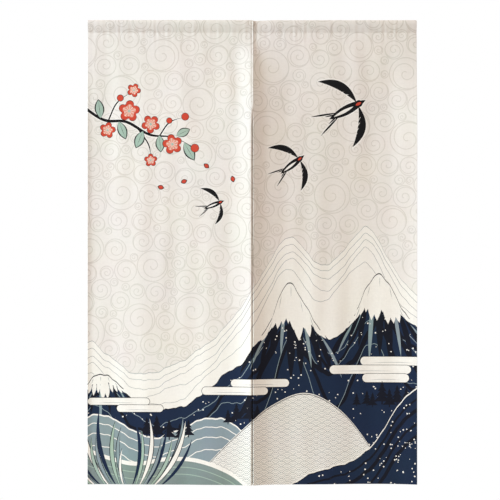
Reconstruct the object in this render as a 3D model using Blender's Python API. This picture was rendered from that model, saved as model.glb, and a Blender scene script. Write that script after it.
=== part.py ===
"""Doorway curtain: two cloth panels that hang side by side from one rod.

Each panel's top is turned over and sewn down into a rod pocket. The left panel laps over the right
one, and a seam joins them from the top edge down to where the slit starts. Below it they hang free.

Metres, +Z up. The origin is the middle of the top edge, X runs along the rod, and the front is -Y.
"""

import collections

import bmesh
import bpy
import numpy as np

# The whole curtain
WIDTH = 0.850  # both panels side by side
HEIGHT = 1.200  # top edge to bottom hem
CLOTH = 0.0016  # thickness of a cloth solid
CLEARANCE = 0.0003  # between two solids that touch
LAP_CLEARANCE = 0.0005  # between the two panels, front to back, where one laps over the other

# The lap and the seam in the middle
LAP = 0.010  # how far the left panel lies over the right one
LAP_REACH = 0.0025  # how far the left panel's edge passes the middle
SEAM_LENGTH = 0.215  # top edge to the start of the slit
RELEASE = 0.075  # depth over which the panels come apart below the seam

# The rod pocket: a teardrop hollow over a flat band where its two walls are sewn together
HOLLOW_HEIGHT = 0.0285
HOLLOW_HALF_DEPTH = 0.0052
POCKET_HEIGHT = 0.0345  # top edge to the band's lower edge
POCKET_POINTS = 25  # round the hollow
POCKET_SPANS = 6  # along the rod

# The panels' general shape, as heights in front of the rod's plane
HANG_START = POCKET_HEIGHT
HANG_FULL = 0.300  # depth at which the shape is fully there
LEFT_TURN = 0.050  # slope of the left panel, forward towards the slit
RIGHT_TURN = -0.045  # slope of the right panel, back towards its outer edge
RIGHT_STAND = 0.014  # how far forward the right panel's inner edge hangs
SLIT_KNEE_X = -0.038  # from here the left panel's edge strip comes forward
SLIT_KNEE = 0.0065  # softness of that bend
SLIT_SLOPE = 0.32
SLIT_RISE = 0.115  # depth at which that strip stands fully forward
SEAM_FALL = 0.028  # width over which the right panel drops back beside the seam
RIDGE_SHARE = 0.95  # how much of that ridge the right panel keeps beside the open slit
ROLL_WIDTH = 0.0067  # the left panel's free edge rolls back over this width
ROLL_BACK = 0.0085
ROLL_IN = 0.00335  # how far the rolled edge draws in to the left
GROOVE_DEPTH = 0.0095  # the right panel dips so far behind that edge
GROOVE_FLOOR = 0.00105  # and rises again from so far beside it
GROOVE_LIP = 0.00385  # to so far
OUTER_REACH = 0.016  # decay of the curl at the left panel's outer edge
OUTER_FORWARD = 0.0048
RIGHT_CURL_X = 0.290  # from here the right panel comes forward again
RIGHT_CURL = 0.0180  # at its outer edge
RIGHT_CURL_POWER = 2.6

# Mesh steps
COLUMNS = 22
ROLL_COLUMNS = 6
LIP_COLUMNS = 9
ROWS = 28
SLIT_ROWS = 13  # over the depth where the slit comes open
SLIT_ROW_MARGIN = 0.008  # the other rows keep so far from them
EDGE_CROWDING = 0.62  # how much closer the columns stand at a panel's edges
TOP_CROWDING = 1.35  # power that crowds the rows towards the top

# Soft folds. A fold's crest runs from x_top at depth start to x_low at depth end, and fades out at
# both of them. It spreads half_width to each side, and stands forward by so much (back if negative).
Fold = collections.namedtuple("Fold", "x_top x_low start end half_width forward")
LEFT_FOLDS = (
    Fold(-0.206, -0.160, 0.00, 0.34, 0.030, 0.0028),
    Fold(-0.112, -0.124, 0.02, 0.30, 0.026, -0.0020),
    Fold(-0.064, -0.052, 0.05, 0.26, 0.014, 0.0015),
    Fold(-0.058, -0.062, 0.16, 1.30, 0.017, -0.0022),
    Fold(-0.300, -0.286, 0.10, 1.30, 0.050, 0.0024),
    Fold(-0.170, -0.190, 0.34, 1.60, 0.044, -0.0020),
)
RIGHT_FOLDS = (
    Fold(0.196, 0.176, 0.02, 0.25, 0.024, 0.0026),
    Fold(0.128, 0.086, 0.04, 0.27, 0.026, -0.0026),
    Fold(0.232, 0.292, 0.00, 0.17, 0.016, 0.0024),
    Fold(0.352, 0.318, 0.02, 0.36, 0.034, -0.0026),
    Fold(0.180, 0.160, 0.24, 1.50, 0.052, 0.0018),
    Fold(0.262, 0.286, 0.30, 1.60, 0.048, -0.0024),
)

LINEN = (0.80, 0.765, 0.71)
SHADED_LINEN = (0.72, 0.68, 0.62)


def clear_scene():
    for thing in list(bpy.data.objects):
        bpy.data.objects.remove(thing, do_unlink=True)


def cloth_material(name, colour):
    material = bpy.data.materials.new(name)
    material.use_nodes = True
    shader = material.node_tree.nodes["Principled BSDF"]
    shader.inputs["Base Color"].default_value = (*colour, 1.0)
    shader.inputs["Roughness"].default_value = 0.88
    shader.inputs["Metallic"].default_value = 0.0
    material.diffuse_color = (*colour, 1.0)
    return material


def add_solid(name, points, faces, material):
    """One closed body from its points and faces, shaded smooth except at its rims."""
    mesh = bpy.data.meshes.new(name)
    mesh.from_pydata([tuple(p) for p in points], [], faces)
    shape = bmesh.new()
    shape.from_mesh(mesh)
    bmesh.ops.recalc_face_normals(shape, faces=shape.faces)
    shape.to_mesh(mesh)
    shape.free()
    mesh.shade_smooth()
    mesh.set_sharp_from_angle(angle=np.radians(50.0))
    mesh.materials.append(material)
    solid = bpy.data.objects.new(name, mesh)
    bpy.context.scene.collection.objects.link(solid)
    return solid


def ease(value, start, end):
    """0 before start, 1 after end, and a smooth step between them."""
    t = np.clip((value - start) / (end - start), 0.0, 1.0)
    return t * t * (3.0 - 2.0 * t)


def bend(distance, softness):
    """0 on one side of a bend and the distance past it on the other, rounded between them."""
    return softness * np.log1p(np.exp(distance / softness))


def folds_forward(folds, x, depth):
    """Sum of the soft folds: a bell across each crest times half a sine wave along it."""
    total = np.zeros(np.broadcast(x, depth).shape)
    for fold in folds:
        along = np.clip((depth - fold.start) / (fold.end - fold.start), 0.0, 1.0)
        crest = fold.x_top + (fold.x_low - fold.x_top) * along
        bell = np.exp(-(((x - crest) / fold.half_width) ** 2))
        total += fold.forward * bell * np.sin(np.pi * along)
    return total


def slit_open(depth):
    """0 down the seam, 1 where the slit stands open."""
    return ease(depth, SEAM_LENGTH, SEAM_LENGTH + RELEASE)


def rolled_share(x, depth):
    """How far round the left panel's free edge has rolled at x: the square of the way to the edge."""
    past = np.clip((x - (LAP_REACH - ROLL_WIDTH)) / ROLL_WIDTH, 0.0, 1.0)
    return slit_open(depth) * past**2


def left_forward(x, depth, rolled=True):
    """How far the left panel hangs in front of the rod's plane."""
    turned = LEFT_TURN * (x + WIDTH / 2) + OUTER_FORWARD * np.exp(-(x + WIDTH / 2) / OUTER_REACH)
    shape = turned + folds_forward(LEFT_FOLDS, x, depth)
    strip = SLIT_SLOPE * bend(x - SLIT_KNEE_X, SLIT_KNEE)
    forward = ease(depth, HANG_START, HANG_FULL) * shape + ease(depth, HANG_START, SLIT_RISE) * strip
    if rolled:
        forward = forward - ROLL_BACK * rolled_share(x, depth)
    return forward


def right_forward(x, depth):
    """How far the right panel hangs in front of the rod's plane.

    Down to the slit it follows the left panel behind the lap, and drops back beside the seam. Beside
    the open slit it keeps most of that ridge, and dips into a groove behind the left panel's edge.
    """
    shape = RIGHT_STAND + RIGHT_TURN * x
    curled = np.clip((x - RIGHT_CURL_X) / (WIDTH / 2 - RIGHT_CURL_X), 0.0, 1.0)
    shape = shape + RIGHT_CURL * curled**RIGHT_CURL_POWER
    hanging = ease(depth, HANG_START, HANG_FULL) * (shape + folds_forward(RIGHT_FOLDS, x, depth))
    lapped = left_forward(np.minimum(x, LAP_REACH), depth, rolled=False)
    beside = np.exp(-np.maximum(x - LAP_REACH, 0.0) / SEAM_FALL)
    ridge = (lapped - hanging) * beside * (1.0 - (1.0 - RIDGE_SHARE) * slit_open(depth))
    past_edge = x - (LAP_REACH - ROLL_IN * slit_open(depth))
    groove = GROOVE_DEPTH * slit_open(depth) * (1.0 - ease(past_edge, GROOVE_FLOOR, GROOVE_LIP))
    return hanging + ridge - groove


def drawn_in(x, depth):
    """How far the left panel's rolled edge has moved in to the left."""
    return ROLL_IN * rolled_share(x, depth)


def not_drawn_in(x, depth):
    return np.zeros(np.broadcast(x, depth).shape)


def crowded(start, end, steps):
    """Places from start to end that stand closer together near both of them."""
    t = np.linspace(0.0, 1.0, steps + 1)
    return start + (end - start) * (t - EDGE_CROWDING * np.sin(2 * np.pi * t) / (2 * np.pi))


def panel_depths():
    """The rows' depths, from just under the rod pocket down to the hem, close where the slit opens."""
    top = POCKET_HEIGHT + CLEARANCE
    rows = top + (HEIGHT - top) * np.linspace(0.0, 1.0, ROWS + 1) ** TOP_CROWDING
    start, end = SEAM_LENGTH, SEAM_LENGTH + RELEASE
    elsewhere = (rows < start - SLIT_ROW_MARGIN) | (rows > end + SLIT_ROW_MARGIN)
    return np.sort(np.concatenate([rows[elsewhere], np.linspace(start, end, SLIT_ROWS)]))


def sheet_normals(middle):
    """Unit normals of a grid of points, towards the front."""
    across = np.gradient(middle, axis=1)
    down = np.gradient(middle, axis=0)
    normals = np.cross(down, across)
    return normals / np.linalg.norm(normals, axis=2, keepdims=True)


def make_panel(name, columns, forward, inward, behind, material):
    """A sheet of cloth: a grid on its fold functions, given its thickness along its normals."""
    x, depth = np.meshgrid(columns, panel_depths())
    middle = np.stack([x - inward(x, depth), behind - forward(x, depth), -depth], axis=2)
    half = sheet_normals(middle) * CLOTH / 2
    half[[0, -1], :, 2] = 0.0  # the top and bottom edges stay level
    half[:, [0, -1], 0] = 0.0  # the side edges stay straight
    rows, cols = x.shape
    points = np.concatenate([(middle + half).reshape(-1, 3), (middle - half).reshape(-1, 3)])
    back = rows * cols

    def at(row, col):
        return row * cols + col

    faces = []
    for row in range(rows - 1):
        for col in range(cols - 1):
            corners = (at(row, col), at(row + 1, col), at(row + 1, col + 1), at(row, col + 1))
            faces.append(corners)
            faces.append(tuple(back + c for c in reversed(corners)))
    rim = [at(0, c) for c in range(cols)]
    rim += [at(r, cols - 1) for r in range(1, rows)]
    rim += [at(rows - 1, c) for c in range(cols - 2, -1, -1)]
    rim += [at(r, 0) for r in range(rows - 2, 0, -1)]
    for here, there in zip(rim, rim[1:] + rim[:1]):
        faces.append((here, there, back + there, back + here))
    return add_solid(name, points, faces, material)


def pocket_rings():
    """The rod pocket's section, as two rings of (y, z): the hollow, and the cloth round it.

    The hollow is a teardrop: its height goes with the square of the sine of half the angle, and its
    half depth with that times the cosine of half the angle. The cloth's outside is a cloth's
    thickness away from it, and below the teardrop's tip the two walls meet in a flat band.
    """
    half = np.linspace(0.0, np.pi, POCKET_POINTS)
    widest = 2 / np.sqrt(27.0)  # the largest value of sin^2 times cos
    y = -HOLLOW_HALF_DEPTH / widest * np.sin(half) ** 2 * np.cos(half)
    z = HOLLOW_HEIGHT * np.sin(half) ** 2
    dy = -HOLLOW_HALF_DEPTH / widest * (2 * np.sin(half) * np.cos(half) ** 2 - np.sin(half) ** 3)
    dz = HOLLOW_HEIGHT * 2 * np.sin(half) * np.cos(half)
    # At the tip both rates vanish, and the wall's direction is their ratio's limit.
    dy[[0, -1]] = -HOLLOW_HALF_DEPTH / widest
    dz[[0, -1]] = HOLLOW_HEIGHT, -HOLLOW_HEIGHT
    length = np.hypot(dy, dz)
    tip = -CLOTH - HOLLOW_HEIGHT
    hollow = np.column_stack([y, z + tip])
    outside = hollow + CLOTH * np.column_stack([-dz / length, dy / length])
    band = abs(outside[0, 0])
    outside = np.vstack([[-band, -POCKET_HEIGHT], outside, [band, -POCKET_HEIGHT]])
    return hollow[:-1], outside


def make_pocket(name, start, end, material):
    """A rod pocket: its section carried along X, open at both ends."""
    hollow, outside = pocket_rings()
    inner, outer = len(hollow), len(outside)
    stations = np.linspace(start, end, POCKET_SPANS + 1)
    points = []
    for x in stations:
        points += [(x, y, z) for y, z in hollow]
        points += [(x, y, z) for y, z in outside]
    each = inner + outer
    faces = []
    for span in range(POCKET_SPANS):
        near, far = span * each, (span + 1) * each
        for i in range(inner):
            j = (i + 1) % inner
            faces.append((near + i, far + i, far + j, near + j))
        for i in range(outer):
            j = (i + 1) % outer
            faces.append((near + inner + i, near + inner + j, far + inner + j, far + inner + i))
    for base in (0, POCKET_SPANS * each):
        for i in range(inner):
            j = (i + 1) % inner
            walls = (base + i, base + j, base + inner + i + 2, base + inner + i + 1)
            faces.append(walls if base == 0 else walls[::-1])
        band = (base, base + inner + outer - 2, base + each - 1, base + inner, base + inner + 1)
        faces.append(band if base else band[::-1])
    return add_solid(name, points, faces, material)


def left_columns():
    roll_start = LAP_REACH - ROLL_WIDTH
    roll = np.linspace(roll_start, LAP_REACH, ROLL_COLUMNS + 1)[1:]
    return np.concatenate([crowded(-WIDTH / 2, roll_start, COLUMNS), roll])


def right_columns():
    """The lap behind the left panel, the groove's rise, and then the rest of the right panel."""
    floor, lip = LAP_REACH - ROLL_IN + GROOVE_FLOOR, LAP_REACH + GROOVE_LIP
    lap = np.linspace(LAP_REACH - LAP, floor, 4)[:-1]
    rise = np.linspace(floor, lip, LIP_COLUMNS + 1)[:-1]
    return np.concatenate([lap, rise, crowded(lip, WIDTH / 2, COLUMNS)])


def build():
    clear_scene()
    left_cloth = cloth_material("linen_left", LINEN)
    right_cloth = cloth_material("linen_right", SHADED_LINEN)
    left_sleeve = cloth_material("linen_left_pocket", LINEN)
    right_sleeve = cloth_material("linen_right_pocket", SHADED_LINEN)
    apart = (CLOTH + LAP_CLEARANCE) / 2
    make_panel("panel_left", left_columns(), left_forward, drawn_in, -apart, left_cloth)
    make_panel("panel_right", right_columns(), right_forward, not_drawn_in, apart, right_cloth)
    make_pocket("pocket_left", -WIDTH / 2, LAP_REACH, left_sleeve)
    make_pocket("pocket_right", LAP_REACH + CLEARANCE, WIDTH / 2, right_sleeve)


build()
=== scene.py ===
"""Dresses a split doorway curtain: two printed linen panels, their hems and pockets, and the sewing.

A panel is one continuous cloth. It is first drawn flat: x runs across the curtain and v runs up from
the hem, over the top fold and down the back to where the pocket is sewn. The printed motifs are
outlines in that flat drawing, which is cut into triangles along them, and then hung in its folds.
"""

import collections
import math

import bpy
import numpy as np
from bpy.props import FloatProperty, FloatVectorProperty, IntProperty, PointerProperty
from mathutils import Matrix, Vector
from mathutils.geometry import delaunay_2d_cdt


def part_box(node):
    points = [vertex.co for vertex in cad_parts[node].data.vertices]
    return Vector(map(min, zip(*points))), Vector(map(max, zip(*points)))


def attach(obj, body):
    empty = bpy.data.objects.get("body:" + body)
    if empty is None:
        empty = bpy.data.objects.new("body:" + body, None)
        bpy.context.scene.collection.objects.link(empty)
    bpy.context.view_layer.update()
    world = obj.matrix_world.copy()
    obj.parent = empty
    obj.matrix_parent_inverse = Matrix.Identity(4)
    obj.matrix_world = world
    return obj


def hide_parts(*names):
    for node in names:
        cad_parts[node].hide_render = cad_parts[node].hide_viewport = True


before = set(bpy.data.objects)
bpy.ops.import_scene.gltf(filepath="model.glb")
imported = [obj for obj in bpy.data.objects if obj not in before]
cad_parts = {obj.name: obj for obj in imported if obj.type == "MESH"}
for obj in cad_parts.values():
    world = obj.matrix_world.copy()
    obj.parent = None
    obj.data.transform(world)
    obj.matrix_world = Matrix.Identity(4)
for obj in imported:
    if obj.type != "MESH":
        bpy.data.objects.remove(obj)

bl_info = {
    "name": "Split Doorway Curtain",
    "version": (1, 0, 0),
    "blender": (4, 5, 0),
    "location": "View3D > Sidebar > Curtain",
    "description": "Hangs, prints and sews a two-panel doorway curtain",
    "category": "Object",
}

LEFT_BOX, RIGHT_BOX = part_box("panel_left"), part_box("panel_right")
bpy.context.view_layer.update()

# The whole curtain, from the solids
WIDTH = RIGHT_BOX[1].x - LEFT_BOX[0].x
HEIGHT = -LEFT_BOX[0].z
LAP_REACH = LEFT_BOX[1].x  # how far the left panel's edge passes the middle
LAP_START = RIGHT_BOX[0].x  # where the right panel begins behind it
POCKET_HEIGHT = -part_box("pocket_left")[0].z
SHEETS_APART = 0.0021  # between the two panels' middles where they are sewn together
SEAM_X = -0.0017  # the seam's row of stitches

# The panels' hang, as heights in front of the rod's plane. These are the solids' curves, apart from the
# edges beside the slit, which lie up to about 3 mm off them.
SEAM_LENGTH = 0.215  # top edge to the start of the slit
RELEASE = 0.075  # depth over which the panels come apart below the seam
HANG_FULL = 0.300  # depth at which the shape is fully there
LEFT_TURN = 0.050  # slope of the left panel, forward towards the slit
RIGHT_TURN = -0.045  # slope of the right panel, back towards its outer edge
RIGHT_STAND = 0.014  # how far forward the right panel's inner edge hangs
SLIT_KNEE_X = -0.038  # from here the left panel's edge strip comes forward
SLIT_KNEE = 0.0065  # softness of that bend
SLIT_SLOPE = 0.25  # slope of that strip
SEAM_BEND = 0.0006  # softness of the bend back to level past the seam's stitches
SLIT_RISE = 0.115  # depth at which that strip stands fully forward
SEAM_FALL = 0.024  # width over which the right panel drops back beside the seam
RIDGE_SHARE = 0.95  # how much of that ridge the right panel keeps beside the open slit
ROLL_WIDTH = 0.0067  # the left panel's free edge rolls back over this width
ROLL_BACK = 0.0098  # and has gone back so far at the edge
ROLL_IN = 0.0040  # how far the rolled edge draws in to the left
GROOVE_DEPTH = 0.0096  # the right panel dips so far behind that edge
GROOVE_FLOOR = 0.0019  # and rises again from here, more steeply than the thick solids can
GROOVE_LIP = 0.0030  # to here
OUTER_REACH = 0.016  # decay of the curl at the left panel's outer edge
OUTER_FORWARD = 0.0048  # how far forward it curls at the edge
RIGHT_CURL_X = 0.290  # from here the right panel comes forward again
RIGHT_CURL = 0.0180  # at its outer edge
RIGHT_CURL_POWER = 2.6
PAST_EDGE = 1.1  # a share of the way to an edge may run on to here, for points just outside it

# Soft folds. A fold's crest runs from x_top at depth start to x_low at depth end, and fades out at
# both of them. It spreads half_width to each side, and stands forward by so much (back if negative).
Fold = collections.namedtuple("Fold", "x_top x_low start end half_width forward")
LEFT_FOLDS = (
    Fold(-0.206, -0.160, 0.00, 0.34, 0.030, 0.0028),
    Fold(-0.112, -0.124, 0.02, 0.30, 0.026, -0.0020),
    Fold(-0.064, -0.052, 0.05, 0.26, 0.014, 0.0015),
    Fold(-0.058, -0.062, 0.16, 1.30, 0.017, -0.0015),
    Fold(-0.300, -0.286, 0.10, 1.30, 0.050, 0.0024),
    Fold(-0.170, -0.190, 0.34, 1.60, 0.044, -0.0020),
)
RIGHT_FOLDS = (
    Fold(0.196, 0.176, 0.02, 0.25, 0.024, 0.0026),
    Fold(0.128, 0.086, 0.04, 0.27, 0.026, -0.0026),
    Fold(0.232, 0.292, 0.00, 0.17, 0.016, 0.0024),
    Fold(0.352, 0.318, 0.02, 0.36, 0.034, -0.0026),
    Fold(0.180, 0.160, 0.24, 1.50, 0.052, 0.0018),
    Fold(0.262, 0.286, 0.30, 1.60, 0.048, -0.0024),
)

# Small relief
PUCKER_REACH = 0.011  # of the puckers along the pocket's row
PUCKER_TAIL = 0.045  # and of fainter ones below it
SEAM_PUCKER_REACH = 0.010
SEAM_START = 0.020  # below the pocket's row, where the seam's puckers are fully there
SEAM_END = 0.020  # the seam's relief fades out from so far above the slit to so far below its start
FURROW_WIDTH = 0.0009
WAVES_START, WAVES_FULL = -0.004, 0.060  # below the pocket's row, where the small waves set in
SLOPE_STEP = 0.00025  # step over which the slopes of the cloth's middle are taken
FACE_STEP = 0.00040  # the same for a face with its small relief

# The rod pocket, followed along the cloth's middle
STITCH_DEPTH = 0.032  # the sewn row, below the top edge
POCKET_HALF_DEPTH = 0.0062  # of the teardrop where it is widest
FLAP = 0.0065  # cloth below the sewn row at the back
WALLS_APART = 0.00075  # between the pocket's two walls where they are sewn
LAP_WALLS_APART = 0.0034  # the same where the left panel's pocket takes the right one's in
LAP_EASE = 0.005  # width over which it opens up for that
NEST = 0.0019  # how much smaller the right pocket is there
NEST_START, NEST_END = 0.003, 0.060  # past the lap, where the right pocket grows to its full size
POCKET_SAMPLES = 241  # places at which the teardrop's length is measured
WIDEST = 2 / math.sqrt(27.0)  # the largest value of sin^2 times cos

# Mesh steps across and along a panel
COLUMN_STEP = 0.0058
ROW_STEP = 0.0105
TOP_ROW_STEP = 0.0070
POCKET_ROWS = 22
HEM_STEP = 0.0012  # width of the step where a hem's turned cloth ends
HEM_FADE = (0.002, 0.008)  # below the pocket's row, where the side hems flatten out
ROLL_LINES, GROOVE_LINES = 12, 8  # mesh lines across the rolled edge and up the groove's wall
LIP_LINES = (0.0010, 0.0030)  # and these lie past the groove's lip
SAME_PLACE = 1e-6  # points this near to each other are one
NEAR_BORDER = 4 * SAME_PLACE
SLIVER = 1e-11  # a triangle of less than half this area is left out
EDGE_BULGE = 0.3  # how far an edge rounds outwards, as a share of the cloth's thickness there

# The cloth's own map: its margin, the width and length of one face, the back's outer side, and the
# strips of the edges
MAP_MARGIN, MAP_WIDTH, MAP_LENGTH = 0.005, 0.480, 0.990
MAP_BACK = 0.975
MAP_STRIPS = ((0.985, 0.990), (0.990, 0.995))

# The width of the flat cloth is measured at so many places, at this height above the hem
MEASURED_PLACES = 900
MEASURED_V = 0.4

# The camera stands face on. In pixels of the photograph's square frame, these are the frame's side
# and the curtain's width, middle and top edge.
FRAME_PIXELS = 500
CURTAIN_PIXELS = 328.5
MIDDLE_PIXEL = 252.25
TOP_PIXEL = 20.1
LENS, SENSOR = 120.0, 36.0

# Soft lights, as place and size, and the floor's outline
KEY_LIGHT = ((-3.9, -1.27, 0.55), (1.35, 2.7))
BACK_LIGHT = ((-1.4, 2.6, 0.2), (1.6, 1.6))
FLOOR_SIDES = 64


def screen(red, green, blue):
    """A colour as it reads on a screen, from 0 to 255, turned into linear light."""
    parts = (red / 255, green / 255, blue / 255)
    return tuple(c / 12.92 if c <= 0.04045 else ((c + 0.055) / 1.055) ** 2.4 for c in parts)


def settings_of(kind, **fixed):
    """Makes settings of one kind, which differ in their name, description and default."""
    return lambda name, about, default: kind(name=name, description=about, default=default, **fixed)


colour_setting = settings_of(FloatVectorProperty, subtype="COLOR", size=3, min=0.0, max=1.0)
length_setting = settings_of(FloatProperty, min=0.0, unit="LENGTH")
share_setting = settings_of(FloatProperty, min=0.0, max=1.0, subtype="FACTOR")
power_setting = settings_of(FloatProperty, min=0.0, unit="POWER")
strength_setting = settings_of(FloatProperty, min=0.0)
count_setting = settings_of(IntProperty, min=0)


class CurtainCloth(bpy.types.PropertyGroup):
    """The cloth, its hems and its thread."""

    thickness: length_setting("Cloth", "Thickness of a single layer of cloth", 0.0006)
    hem_extra: length_setting("Hem layers", "What a hem's turned cloth adds behind", 0.0010)
    side_hem: length_setting("Side hem", "Width of the hems at the sides", 0.009)
    bottom_hem: length_setting("Bottom hem", "Height of the hem at the bottom", 0.018)
    wrinkle: length_setting("Wrinkles", "Height of the small wrinkles all over", 0.00045)
    pucker: length_setting("Puckers", "Height of the puckers along the sewn rows", 0.00032)
    furrow: length_setting("Furrow", "How far the seam's row pulls the cloth in", 0.0010)
    stitch_length: length_setting("Stitch", "Length of a stitch", 0.0031)
    stitch_gap: length_setting("Stitch gap", "Cloth showing between two stitches", 0.0009)
    thread: length_setting("Thread", "Radius of the sewing thread", 0.00028)


class CurtainPrint(bpy.types.PropertyGroup):
    """The print's dyes, and the painted shade of the doubled cloth."""

    ground: colour_setting("Ground", "Undyed linen", screen(238, 234, 229))
    scroll: colour_setting("Scrolls", "Scroll lines on the ground", screen(221, 217, 210))
    cream: colour_setting("Cream", "Mist and snow", screen(247, 245, 239))
    contour: colour_setting("Contours", "Thin lines on the cream", screen(168, 172, 172))
    navy: colour_setting("Navy", "Mountains", screen(20, 38, 66))
    midnight: colour_setting("Midnight", "Shaded sides of the mountains", screen(10, 14, 30))
    slate: colour_setting("Slate", "Far ridge and reeds", screen(140, 157, 164))
    sage: colour_setting("Sage", "Meadow", screen(132, 149, 146))
    leaf: colour_setting("Leaf", "Leaves on the branch", screen(168, 192, 178))
    coral: colour_setting("Coral", "Blossoms", screen(208, 74, 54))
    salmon: colour_setting("Salmon", "Hearts of the blossoms", screen(230, 158, 136))
    ink: colour_setting("Ink", "Birds and branch", screen(12, 12, 16))
    halo: colour_setting("Halo", "Light rim round the ink", screen(246, 244, 240))
    show_through: share_setting("Show-through", "How much of the dye reaches the back", 0.42)
    # Painted shade: the pocket's two layers are darkened by this share, and the hems by half as much, for
    # the light that doubled cloth lets through less
    doubled: share_setting("Doubled cloth", "Lightness of the pocket's two layers", 0.93)
    seed: count_setting("Seed", "Draw of the scrolls and dots", 11)


class CurtainStage(bpy.types.PropertyGroup):
    """Light and floor."""

    key_power: power_setting("Key light", "Power of the soft light at the left", 203.0)
    key_colour: colour_setting("Key colour", "Colour of that light", (0.675, 0.882, 1.0))
    ambient: strength_setting("Ambient", "Strength of the light from all round", 0.70)
    ambient_colour: colour_setting("Ambient colour", "Colour of that light", (1.0, 0.86, 0.75))
    side_glow: share_setting("Side glow", "How much brighter that light is from the left", 0.35)
    top_glow: share_setting("Top glow", "How much brighter that light is from above", 0.45)
    back_power: power_setting("Back light", "Power of the soft light behind the curtain", 38.0)
    floor_drop: length_setting("Floor", "Height of the hem above the floor", 0.80)
    floor_radius: length_setting("Floor radius", "Radius of the pale floor", 1.60)
    floor: colour_setting("Floor colour", "Colour of the floor", (0.78, 0.77, 0.75))


# ---- the hang


def ease(value, start, end):
    """0 before start, 1 after end, and a smooth step between them."""
    t = np.clip((value - start) / (end - start), 0.0, 1.0)
    return t * t * (3.0 - 2.0 * t)


def bell(distance, width):
    """1 at no distance, falling off to both sides like a bell."""
    return np.exp(-((distance / width) ** 2))


def fade(distance, reach):
    """1 at no distance, falling off as the exponential of distance over reach."""
    return np.exp(-distance / reach)


def unit(vectors):
    """Vectors scaled to length 1."""
    return vectors / np.linalg.norm(vectors, axis=-1, keepdims=True)


def bend(distance, softness):
    """0 on one side of a bend and the distance past it on the other, rounded between them."""
    return softness * np.log1p(np.exp(distance / softness))


def folds_forward(folds, x, depth):
    """Sum of the soft folds: a bell across each crest times half a sine wave along it."""
    total = np.zeros(np.broadcast(x, depth).shape)
    for fold in folds:
        along = np.clip((depth - fold.start) / (fold.end - fold.start), 0.0, 1.0)
        crest = fold.x_top + (fold.x_low - fold.x_top) * along
        total += fold.forward * bell(x - crest, fold.half_width) * np.sin(np.pi * along)
    return total


def slit_open(depth):
    """0 down the seam, 1 where the slit stands open."""
    return ease(depth, SEAM_LENGTH, SEAM_LENGTH + RELEASE)


def rolled_share(x, depth):
    """How far round the left panel's free edge has rolled at x: the square of the way to the edge."""
    past = np.clip((x - (LAP_REACH - ROLL_WIDTH)) / ROLL_WIDTH, 0.0, PAST_EDGE)
    return slit_open(depth) * past**2


def left_forward(x, depth, rolled=True):
    """How far the left panel hangs in front of the rod's plane.

    It slopes forward to the slit, curls at its outer edge, and bends forward again in a strip beside
    the slit, whose free edge rolls back. Above the slit the strip lies level past the seam's row.
    """
    across = x + WIDTH / 2
    turned = LEFT_TURN * across + OUTER_FORWARD * fade(across, OUTER_REACH)
    level = (1.0 - slit_open(depth)) * bend(x - SEAM_X, SEAM_BEND)
    strip = SLIT_SLOPE * (bend(x - SLIT_KNEE_X, SLIT_KNEE) - level)
    forward = ease(depth, POCKET_HEIGHT, HANG_FULL) * (turned + folds_forward(LEFT_FOLDS, x, depth))
    forward = forward + ease(depth, POCKET_HEIGHT, SLIT_RISE) * strip
    return forward - ROLL_BACK * rolled_share(x, depth) if rolled else forward


def right_forward(x, depth):
    """How far the right panel hangs in front of the rod's plane.

    Down to the slit it follows the left panel behind the lap, and drops back beside the seam. Beside
    the open slit it keeps most of that ridge, and dips into a groove behind the left panel's edge.
    """
    curled = np.clip((x - RIGHT_CURL_X) / (WIDTH / 2 - RIGHT_CURL_X), 0.0, PAST_EDGE)
    shape = RIGHT_STAND + RIGHT_TURN * x + RIGHT_CURL * curled**RIGHT_CURL_POWER
    hanging = ease(depth, POCKET_HEIGHT, HANG_FULL) * (shape + folds_forward(RIGHT_FOLDS, x, depth))
    lapped = left_forward(np.minimum(x, LAP_REACH), depth, rolled=False)
    beside = fade(np.maximum(x - LAP_REACH, 0.0), SEAM_FALL)
    ridge = (lapped - hanging) * beside * (1.0 - (1.0 - RIDGE_SHARE) * slit_open(depth))
    groove = GROOVE_DEPTH * slit_open(depth) * (1.0 - ease(x, GROOVE_FLOOR, GROOVE_LIP))
    return hanging + ridge - groove


def pocket_lengths(angle):
    """Length of cloth from the sewn row round the pocket's teardrop to each angle, see middle_at."""
    side = POCKET_HALF_DEPTH * np.sin(angle) ** 2 * np.cos(angle) / WIDEST
    rise = STITCH_DEPTH * np.sin(angle) ** 2
    return np.concatenate([[0.0], np.cumsum(np.hypot(np.diff(side), np.diff(rise)))])


POCKET_ANGLES = np.linspace(0.0, np.pi, POCKET_SAMPLES)
POCKET_LENGTHS = pocket_lengths(POCKET_ANGLES)
WALL = POCKET_LENGTHS[-1] / 2  # cloth from the sewn row to the top fold
SEWN_V = HEIGHT - STITCH_DEPTH  # the sewn row, as a height above the hem in the flat cloth
BACK_SEWN_V = SEWN_V + 2 * WALL  # the sewn row on the turned-over cloth
END_V = BACK_SEWN_V + FLAP  # the end of the turned-over cloth

Panel = collections.namedtuple("Panel", "name left right forward behind laps")
LEFT_PANEL = Panel("left", LEFT_BOX[0].x, LAP_REACH, left_forward, -SHEETS_APART / 2, True)
RIGHT_PANEL = Panel("right", LAP_START, RIGHT_BOX[1].x, right_forward, SHEETS_APART / 2, False)


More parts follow.
